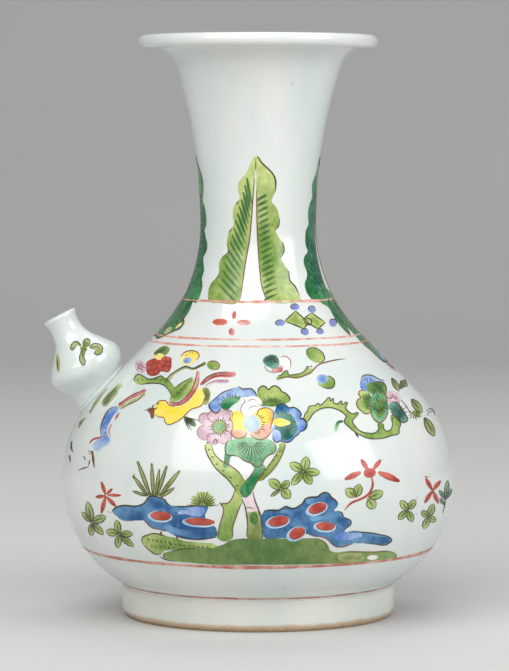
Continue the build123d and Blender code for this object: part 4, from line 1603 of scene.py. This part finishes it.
# %% Paint the right branch
thorny_branch = path(
    303.6, 420, 304.6, 415, 308, 410, 309, 406.6, 313, 406, 315.6, 405.4, 318, 403.4, 319.6, 405, 323, 403.4,
    326, 400.4, 329.6, 397.6, 330.2, 401.4, 333, 398.4, 333.4, 402.6, 337.6, 403.8, 341.6, 401.2, 341.8, 404.4,
    347, 402.2, 345.6, 408, 349, 412, 353, 414, 358, 412.8, 356, 417, 352.4, 421, 354.6, 425.6, 360, 431, 367, 433,
    374, 433, 378, 430, 378, 423, 383.4, 424, 384.4, 430, 388, 431, 391.6, 428, 391.6, 415, 397, 416, 400.4, 424,
    398.6, 430, 399, 433, 392, 435.4, 386, 437.4, 378, 438.8, 368, 438.4, 360, 435, 354, 431.4, 348, 426.4,
    344, 421.4, 346, 417, 343, 413, 338, 410, 332, 408, 325, 408, 318, 410.2, 313, 414, 309, 420, 306, 422.6,
)
left_leaf = path(
    360, 391, 365, 390.6, 370, 394, 372, 402, 371.4, 412, 366.4, 414, 360, 410, 356.6, 405, 357.4, 400,
    360.4, 397.6, 358.4, 394,
)
middle_leaf = path(
    371, 397, 374, 393, 379, 392, 385, 394.6, 387, 402.6, 387.6, 412, 384, 420, 379, 422.6, 373.6, 419, 370.6, 412,
)
upper_leaf = path(368, 384, 375, 381.6, 383.6, 383, 386.4, 390, 385, 396, 378, 396.4, 370, 393, 366.6, 389)
blue_petals = path(
    360, 386, 361, 379, 363, 376, 367, 375, 373, 376, 378, 379, 384.4, 380.6, 383, 384, 376, 386, 370, 391,
    363, 391.4,
)
dark_leaf = path(389, 404, 392, 402, 397, 403, 401, 408, 405, 414, 407.4, 420, 403, 422.6, 397, 419, 391.6, 413)
cluster_washes = [
    ("apple_green", thorny_branch, 0, (372, 436, 90)),
    ("emerald", path(343, 421.4, 338, 420.8, 335.4, 424, 335.8, 431.6, 337.8, 428, 339, 424), 0, (342, 421, 14)),
    ("apple_green", left_leaf, 1, (372, 404, 18)),
    ("leaf_green", path(362, 396, 368, 394, 372, 400, 371, 409, 366, 409, 364, 402), 2, (372, 402, 12)),
    ("sky_blue", blue_petals, 1, (363, 388, 26)),
    ("leaf_green", upper_leaf, 2, (378, 388, 16)),
    ("emerald", middle_leaf, 3, (380, 404, 22)),
    ("leaf_green", path(375, 402, 380, 398, 384, 404, 384, 413, 379, 418, 375, 411), 4, (380, 409, 12)),
    ("lilac", path(
        386.6, 397, 388, 392, 393, 390.8, 398, 393, 400.4, 398, 399.4, 402.6, 394, 402, 389, 402,
    ), 1, (394, 396, -9)),
    ("teal", dark_leaf, 2, (399, 413, 14)),
    ("olive_green", leaf((412, 411), (421, 417), 6), 0, (416, 414, 8)),
]
cluster_lines = [
    *lines(DARK, 1.0, rim(thorny_branch, 0, 22), rim(thorny_branch, 22, 29), rim(thorny_branch, 35, 55),
        rim(blue_petals, 1, 6), rim(dark_leaf, 1, 8)),
    *lines(DARK, 0.9, rim(thorny_branch, 30, 34), rim(upper_leaf, 1, 4)),
    (DARK, 2.4, [(355, 432), (358.4, 437.4)]),
    (DARK, 1.2, [(343, 421), (339, 421.6), (337, 425)]),
    *lines(BROWN, 1.0, rim(left_leaf, 4, 12), rim(middle_leaf, 2, 10)),
    (BROWN, 0.9, path(401, 400, 406, 406, 410, 412, 414, 414)),
    *lines(DARK, 0.8, path(426, 411, 430, 408.6, 433.6, 411, 434.6, 415.6),
        [(427.4, 415.6), (429, 412), (433, 411.6)], [(362, 381), (366, 379), (368, 383)], [(370, 378), (371, 382)]),
]
cluster_lines += rays(DARK, 0.9, (377, 388), 3, 8.6, -120, 150, 10)
cluster_lines += rays(DARK, 0.9, (379, 406), 3.4, 9.6, -110, 200, 13)
cluster_lines += rays(DARK, 0.8, (371, 401), 3, 9, 120, 250, 6)
cluster_lines += rays(BROWN, 0.7, (393, 400), 2, 7, -160, -20, 8)
cluster_lines += rays(DARK, 0.9, (398, 412), 3, 9.6, 0, 330, 14)
cluster_lines += rays(DARK, 0.8, (414, 414), 2, 7, -30, 200, 8)
small_leaves = [
    ((391.6, 378), (399, 391), 5), ((399, 389), (405.6, 379.6), 5), ((400, 381), (407.4, 386), 5),
    ((411.4, 399), (422, 413), 7), ((424.4, 417.6), (434.4, 436.4), 7.6),
]
leaf_washes, leaf_lines = leaves("olive_green", small_leaves)
cluster_washes += leaf_washes
cluster_lines += leaf_lines
front_cluster = paint("front_cluster", on_picture, cluster_washes, cluster_lines)

# %% Paint the twig and the loose blossoms
twig = path(
    276.6, 379.6, 278, 376, 282, 374.6, 283, 373, 287.4, 370.8, 288.4, 374.6, 294, 374.6, 302, 372.8, 305, 370.4,
    308, 366.4, 309.4, 369.4, 312, 368.4, 313, 371.4, 305, 375.6, 296, 378, 288, 376.8, 282, 379,
)
green_bud = oval(315.4, 355.4, 20, 13, 32)
blue_bud = path(318, 384, 323, 376.4, 328, 375.8, 333, 378.6, 334.6, 383, 333, 387.4, 328, 388.6, 322, 387)
twig_washes = [
    ("apple_green", twig, 0, (292, 377, 36)),
    ("apple_green", green_bud, 0, (308, 350, 34)),
    ("apple_green", blue_bud, 1, (333, 386, 20)),
    ("sky_blue", path(
        316.6, 380, 318, 376, 322, 374.4, 326, 375.6, 328, 379, 325.6, 382.4, 321, 383.6,
    ), 2, (322, 379, 8)),
    ("white", path(279, 359, 284, 356.4, 288, 358.4, 290.6, 363, 289.6, 368.4, 285, 370.6, 281, 367, 279, 363)),
    ("rose", path(271.6, 369.4, 276, 367.6, 281, 367, 282.4, 371, 278, 372.6, 273, 372), 0, (280, 369, 12)),
    ("teal", path(
        263, 360, 264.6, 357.4, 270, 355.2, 274, 355, 278, 358, 279.4, 364, 277.4, 367.4, 274, 369, 269.6, 367.4,
        265, 364.6,
    ), 1, (271, 361, 12)),
]
twig_lines = [
    (BROWN, 1.2, path(
        278, 378.6, 288, 377, 296, 378, 305, 375.4, 311.6, 371.8, 315, 368, 319, 364.6, 325, 362.6, 334, 360.4,
        345, 358.8,
    )),
    *lines(DARK, 0.9, rim(twig, 1, 10), rim(green_bud, 3, 9)),
    (DARK, 1.6, [(310.4, 366.8), (312, 366.2)]),
    (DARK, 1.1, rim(blue_bud, 2, 7)),
    ("iron_red", 1.0, path(280.4, 358, 284, 356.2, 288.4, 358.2, 290.8, 363, 289.8, 368.6)),
    ("iron_red", 0.9, [(280, 365), (282.6, 367.6), (280.6, 371)]),
    (BROWN, 0.8, [(264, 366), (268, 371), (276, 373)]),
]
twig_lines += rays(DARK, 0.9, (271, 362), 2.6, 8.6, -175, 10, 13)
front_twig = paint("front_twig", on_picture, twig_washes, twig_lines)

# %% Paint the clovers, the red flower and the sprigs on the right
green_leaves = [
    ((303.7, 471.5), (306.6, 456.4), 9), ((303.2, 471), (289.6, 463), 8.4), ((304.4, 471.5), (320, 472.6), 8),
    ((304, 472), (311.4, 484.4), 8.4), ((303, 472), (291.6, 485), 7.6),
    ((281, 488.4), (268.8, 479.6), 9), ((281.4, 488), (289.6, 481), 7), ((281.6, 489), (290.4, 498), 9.4),
    ((280.6, 489.4), (270.6, 496.4), 3.4),
    ((407.6, 510), (400.4, 500.6), 7), ((407.8, 509.6), (415.6, 499.6), 6.4), ((407.2, 510.6), (398, 519.4), 6.4),
    ((408, 510.6), (412.4, 522), 6.6),
    ((428.6, 516.6), (433.6, 503.8), 6.4), ((428.2, 517), (421.4, 511), 6), ((428.8, 517.2), (436, 521), 6),
    ((428.4, 517.6), (423.4, 528.6), 6),
    ((355.6, 496.6), (345.6, 489), 9), ((356, 497), (359.6, 484), 8.6), ((369, 497.4), (383, 492), 9),
    ((368, 499), (374.6, 508.8), 9.6),
]
red_petals = [
    ((368, 470), (361, 459.2), 5), ((373, 469.6), (381, 459.6), 4.6), ((361, 472), (344.6, 479.4), 6),
    ((378, 472), (399.6, 481.4), 6.6),
    ((432, 490), (425.6, 478), 4.4), ((433, 490), (440.6, 480.6), 4.6), ((432, 491), (424.6, 503), 4.4),
    ((433, 491), (438.4, 503.6), 4.4),
]
feather_leaves = [
    ((445.6, 500), (447.6, 480.4), 4.4), ((445.4, 499.6), (439, 490), 3.4), ((445.6, 499), (451.6, 488.6), 3.4),
    ((444.8, 505), (439.6, 498.4), 3),
]
washes, strokes = leaves("apple_green", green_leaves)
feather_washes, feather_strokes = leaves("emerald", feather_leaves)
washes += feather_washes + [("iron_red", leaf(base, tip, width), 0, (*tip, 14)) for base, tip, width in red_petals]
washes.append(("iron_red", path(
    363.6, 472, 367, 468.6, 372, 468.4, 375.6, 471, 374.6, 475.6, 370, 477.8, 365, 476.4,
), 0, (369, 473, 8)))
strokes += feather_strokes + [
    ("iron_red", 2.2, path(371.6, 477, 372.6, 484, 371, 490, 366, 496, 358, 500, 351, 503, 344.6, 510)),
    *lines("iron_red", 1.2, [(356, 498), (353, 494)], [(424.4, 476.6), (429, 477)]),
    ("iron_red", 1.3, [(372, 492), (367, 499)]),
    (DARK, 1.0, [(445.6, 500), (444.4, 506), (442.6, 513)]),
    *lines(BROWN, 0.8, [(427, 481), (432, 490), (437, 501)], [(439, 483), (432.6, 491), (426, 501)],
        [(347, 478), (355, 475.4), (361, 474.8)], [(379, 474.6), (388, 478.8), (397, 481)]),
]
front_sprigs_right = paint("front_sprigs_right", on_picture, washes, strokes)

# %% [markdown]
# ## The left side: a blue bird, grass and sprigs
#
# Near the spout a blue bird with a long tail hangs head down. Below it stand tufts of grass and small sprigs, which
# fill the empty ground between the scene and the spout. A blade of grass is a thin leaf with a dark line each side.

# %% Paint the blue bird
blue_bird = path(
    118, 407, 113, 407, 109, 410, 106, 413.6, 103, 420, 101, 427, 101, 435, 97, 440, 93, 445, 94, 449, 98, 451,
    102, 447.4, 107, 445, 110.4, 440, 108, 436, 107, 430, 110, 422, 114, 415, 117.6, 411,
)
red_tail = path(118.6, 405, 125, 400, 131, 396, 138, 392.6, 146, 390, 140, 395, 133, 398.4, 126, 402, 120.6, 406)
blue_bird_washes = [
    ("sky_blue", blue_bird, 0, (103, 420, 40)),
    ("olive_green", path(
        102, 405, 103, 400, 106, 396, 110, 391, 114, 387.6, 117, 386, 118.4, 391, 115, 397, 110, 402, 105, 406.4,
    ), 0, (105, 400, 18)),
    ("apple_green", path(113, 391, 116, 386, 120, 383, 122.6, 384.6, 119, 389, 115, 394), 1, (114, 392, 12)),
    ("rose", red_tail, 1, (120, 404, 40)),
    ("olive_green", path(
        118.6, 408, 124, 404, 131, 400.4, 138, 397.4, 145, 393, 141, 398, 134, 401.8, 127, 404.4, 121, 408.6,
    )),
]
blue_bird_lines = [
    *lines(DARK, 1.0, rim(blue_bird, 1, 6), [(90, 460), (88.6, 466)],
        path(104, 404, 108, 397, 113, 391, 118, 386)),
    ("iron_red", 2.0, [(119.4, 413), (115, 419.6)]),
    ("iron_red", 1.8, path(89.6, 443, 94, 439, 98, 438, 102.6, 436)),
    ("iron_red", 1.2, [(112, 424), (109, 431), (110.6, 437)]),
    (BROWN, 2.4, [(92.6, 451), (93.4, 459), (94.4, 467.6)]),
    (DARK, 0.9, [(88, 451), (92, 452.6), (88.6, 454)]),
    *lines(DARK, 1.1, [(84, 456), (85.6, 460)], [(79, 470), (84, 468), (88.6, 467)]),
    (BROWN, 1.0, rim(red_tail, 0, 4)),
    (BROWN, 0.9, path(121, 409, 129, 404.4, 138, 400, 145, 394)),
    ("olive_green", 2.8, path(90, 413, 95, 404, 100, 397, 107, 388)),
    *lines(DARK, 0.8, [(90.6, 413), (96, 404), (102, 396)], [(79, 427), (84, 419.6)]),
    ("olive_green", 2.6, [(78.6, 428), (81, 422), (86, 418)]),
    (DARK, 1.8, [(72, 441), (71.4, 448), (73, 452)]),
    (DARK, 1.6, [(69.6, 455), (70.4, 462)]),
]
for k in range(5):
    blue_bird_lines.append((DARK, 0.8, [(104.4 + 2.4 * k, 403.6 - 3 * k), (108.4 + 2.2 * k, 401.4 - 2.8 * k)]))
    blue_bird_lines.append((DARK, 0.6, [(105 - 0.4 * k, 417 + 5 * k), (107 - 0.2 * k, 418.4 + 5 * k)]))
front_blue_bird = paint("front_blue_bird", on_picture, blue_bird_washes, blue_bird_lines)

# %% Paint the grass and the sprigs on the left
blades = [
    ((150.6, 496), (137.6, 461), 3.6), ((148, 496), (133.6, 476), 3.4), ((147, 496), (132.6, 491), 2.6),
    ((153.4, 497), (151.8, 463), 3.2), ((155.6, 496), (159.6, 469), 2.8), ((157, 496), (167, 465.6), 3.2),
    ((159.4, 496), (180, 470.6), 3.8), ((161, 497), (174.6, 487.6), 3.2),
]
sprig_leaves = [
    ((92, 522), (87.4, 501.6), 7), ((91.6, 522.4), (82, 512), 5), ((92.6, 521.6), (106, 516.6), 8),
    ((92.4, 523), (103.6, 534.6), 6), ((91.8, 523), (91.6, 536), 6),
    ((119, 534), (116.6, 520), 6.4), ((118.4, 534), (106, 531), 7), ((119.8, 533.8), (133, 534), 6.4),
    ((119.6, 534.8), (134, 546.6), 5.6), ((119, 535), (117.6, 548), 6.4),
]
star_petals = [
    ((105.6, 494.6), (101.4, 481.6), 4), ((104.8, 496), (95.6, 497), 3.8), ((105.4, 497), (101.4, 513.4), 4.6),
    ((106.4, 496.8), (116, 506.4), 4.2), ((107, 495), (121, 495.4), 3.2), ((106.6, 494), (112.6, 488.6), 3),
]
washes, strokes = leaves("apple_green", sprig_leaves)
blade_washes, blade_strokes = leaves("olive_green", blades)
blade_strokes = [(enamel, 0.7, points) for enamel, width, points in blade_strokes if width != 0.9]
washes += blade_washes + [("iron_red", leaf(base, tip, width), 0, (*tip, 16)) for base, tip, width in star_petals]
washes.append(("apple_green", path(
    191.6, 505.6, 192, 500, 196, 494.6, 202, 492, 209, 493.4, 213, 498, 214.4, 505, 203, 505.8,
), 0, (203, 506, 15)))
strokes += blade_strokes + rays(DARK, 1.0, (202.8, 506), 3.4, 16, -176, -4, 14)
strokes += [
    (DARK, 0.9, [(135, 474), (133, 476.4), (134.4, 479.6)]),
    *lines(BROWN, 0.8, [(101.4, 484), (105.4, 495), (102, 510)], [(97, 496.6), (105, 495.6), (114, 505)]),
    ("ring_red", 1.0, [(107, 511), (112, 512.6)]),
]
front_sprigs_left = paint("front_sprigs_left", on_picture, washes, strokes)

# %% Paint the spray on the spout
spray = [
    path(81, 346, 78.6, 342.4, 75, 341.4, 71.6, 344.6, 71.6, 350, 74.4, 348.4, 77, 345.4),
    path(83, 346, 83.6, 341, 87, 338.6, 90, 341, 89, 346, 86, 347),
    path(
        89.6, 347.4, 92, 344.4, 97, 343.6, 101.6, 346, 102.6, 349.6, 101, 353, 97.6, 355, 94.4, 353, 96.6, 350.4,
        93, 349.4,
    ),
    path(81, 347, 81, 352, 79.4, 358, 81, 363, 83.4, 365.2, 85.4, 361.6, 84, 357, 85.4, 352, 87, 348.6),
]
spray_washes = [("olive_green", lobe, 0, (84, 347, 24)) for lobe in spray]
spray_washes.append(("olive_green", leaf((58.6, 372), (57.6, 354), 4)))
spray_lines = [
    *lines(DARK, 0.9, rim(spray[0], 0, 6), rim(spray[1], 0, 4), rim(spray[2], 0, 8), rim(spray[3], 0, 7)),
    *lines(DARK, 0.8, [(82.6, 350), (82.4, 358)], [(92, 347), (98, 347), (99.6, 350)]),
    (BROWN, 1.8, [(111.6, 375.4), (117.4, 369)]),
    (DARK, 0.9, [(58, 371), (57, 356)]),
]
paint("spout_spray", on_spout, spray_washes, spray_lines)

# %% [markdown]
# ## The other side
#
# The picture shows one side only. On such vessels the scene usually comes twice, once on each side, so the front
# scene is copied half way round. The copies are turned in the mesh, and not by the object, so that every object
# stays at the origin, where the noise of its enamels is read.

# %% Copy the scene to the back
front_pieces = [
    front_band, front_bank, front_rocks, front_tree, front_blossoms, front_bird, front_branch, front_cluster,
    front_twig, front_sprigs_right, front_blue_bird, front_sprigs_left,
]
for piece in front_pieces:
    turned_copy(piece, piece.name.replace("front", "back"), 180, {})
print("pieces copied to the back:", len(front_pieces))

# %% [markdown]
# ## Floor and lamps
#
# The vessel stands on a pale sweep of paper: a floor whose back edge is extruded upwards, with the corner bevelled
# into a curve. The floor reaches far to the sides and to the front, so that its edge is in no view, not even one
# from behind. Three soft boxes light the vessel: a large one high in front, a weaker one on the right, and one behind
# and above. The large one is as wide as a window and dim for its size, so its reflection in the glaze stays soft.

# %% Lay the floor
FLOOR_BACK, FLOOR_FORWARD, FLOOR_RISE, FLOOR_BEND = 2.2, 5, 3, 0.9  # in metres
FLOOR_WIDEN = 3


def make_floor():
    """A sweep of pale paper behind and under the vessel."""
    bm = bmesh.new()
    bmesh.ops.create_grid(bm, x_segments=1, y_segments=1, size=FLOOR_BACK)
    bmesh.ops.scale(bm, vec=(FLOOR_WIDEN, 1, 1), verts=bm.verts)
    bmesh.ops.translate(bm, vec=(0, -FLOOR_FORWARD, 0), verts=[v for v in bm.verts if v.co.y < 0])
    back = [e for e in bm.edges if all(v.co.y > 0 for v in e.verts)]
    risen = bmesh.ops.extrude_edge_only(bm, edges=back)
    top = [g for g in risen["geom"] if isinstance(g, bmesh.types.BMVert)]
    bmesh.ops.translate(bm, verts=top, vec=(0, 0, FLOOR_RISE))
    corner = [e for e in bm.edges if len(e.link_faces) == 2]
    bend = {"offset": FLOOR_BEND, "offset_type": "OFFSET", "segments": 14, "profile": 0.5, "material": -1}
    bmesh.ops.bevel(bm, geom=corner, affect="EDGES", **bend)
    bmesh.ops.recalc_face_normals(bm, faces=bm.faces)
    for face in bm.faces:
        face.smooth = True
    mesh = bpy.data.meshes.new("floor")
    bm.to_mesh(mesh)
    bm.free()
    floor = bpy.data.objects.new("floor", mesh)
    bpy.context.scene.collection.objects.link(floor)
    material, tree, shader = new_material("floor_paper")
    place = tree.nodes.new("ShaderNodeTexCoord").outputs["Object"]
    tone = mix_colours(tree, noise_at(tree, place, 3, 2), colour(203, 203, 201), colour(210, 210, 208))
    tree.links.new(tone, shader.inputs["Base Color"])
    shader.inputs["Roughness"].default_value = 0.85
    shader.inputs["Specular IOR Level"].default_value = 0.1
    mesh.materials.append(material)


make_floor()
print("floor laid")

# %% Set the lamps
def add_soft_box(name, place, aim, size, watts, tint):
    """A rectangular soft box that faces a point."""
    data = bpy.data.lights.new(name, "AREA")
    data.shape = "RECTANGLE"
    data.size, data.size_y = size
    data.energy = watts
    data.color = tint
    lamp = bpy.data.objects.new(name, data)
    lamp.visible_camera = False
    lamp.location = place
    lamp.rotation_euler = (Vector(aim) - Vector(place)).to_track_quat("-Z", "Y").to_euler()
    bpy.context.scene.collection.objects.link(lamp)


add_soft_box("key_lamp", (-0.5, -1.05, 1.15), (0, 0, 0.1), (1.6, 1.6), 21.5, (1.0, 0.995, 0.98))
add_soft_box("fill_lamp", (1.25, -0.85, 0.8), (0, 0, 0.1), (1.1, 1.1), 13.5, (0.98, 0.99, 1.0))
add_soft_box("top_lamp", (0.1, 0.5, 1.4), (0, 0, 0.1), (1.0, 0.8), 5.0, (1.0, 1.0, 1.0))

world = bpy.data.worlds.new("studio")
world.use_nodes = True
world.node_tree.nodes["Background"].inputs["Color"].default_value = (0.86, 0.88, 0.9, 1)
world.node_tree.nodes["Background"].inputs["Strength"].default_value = 0.32
bpy.context.scene.world = world
bpy.context.scene.view_settings.view_transform = "Standard"
print("lamps set")
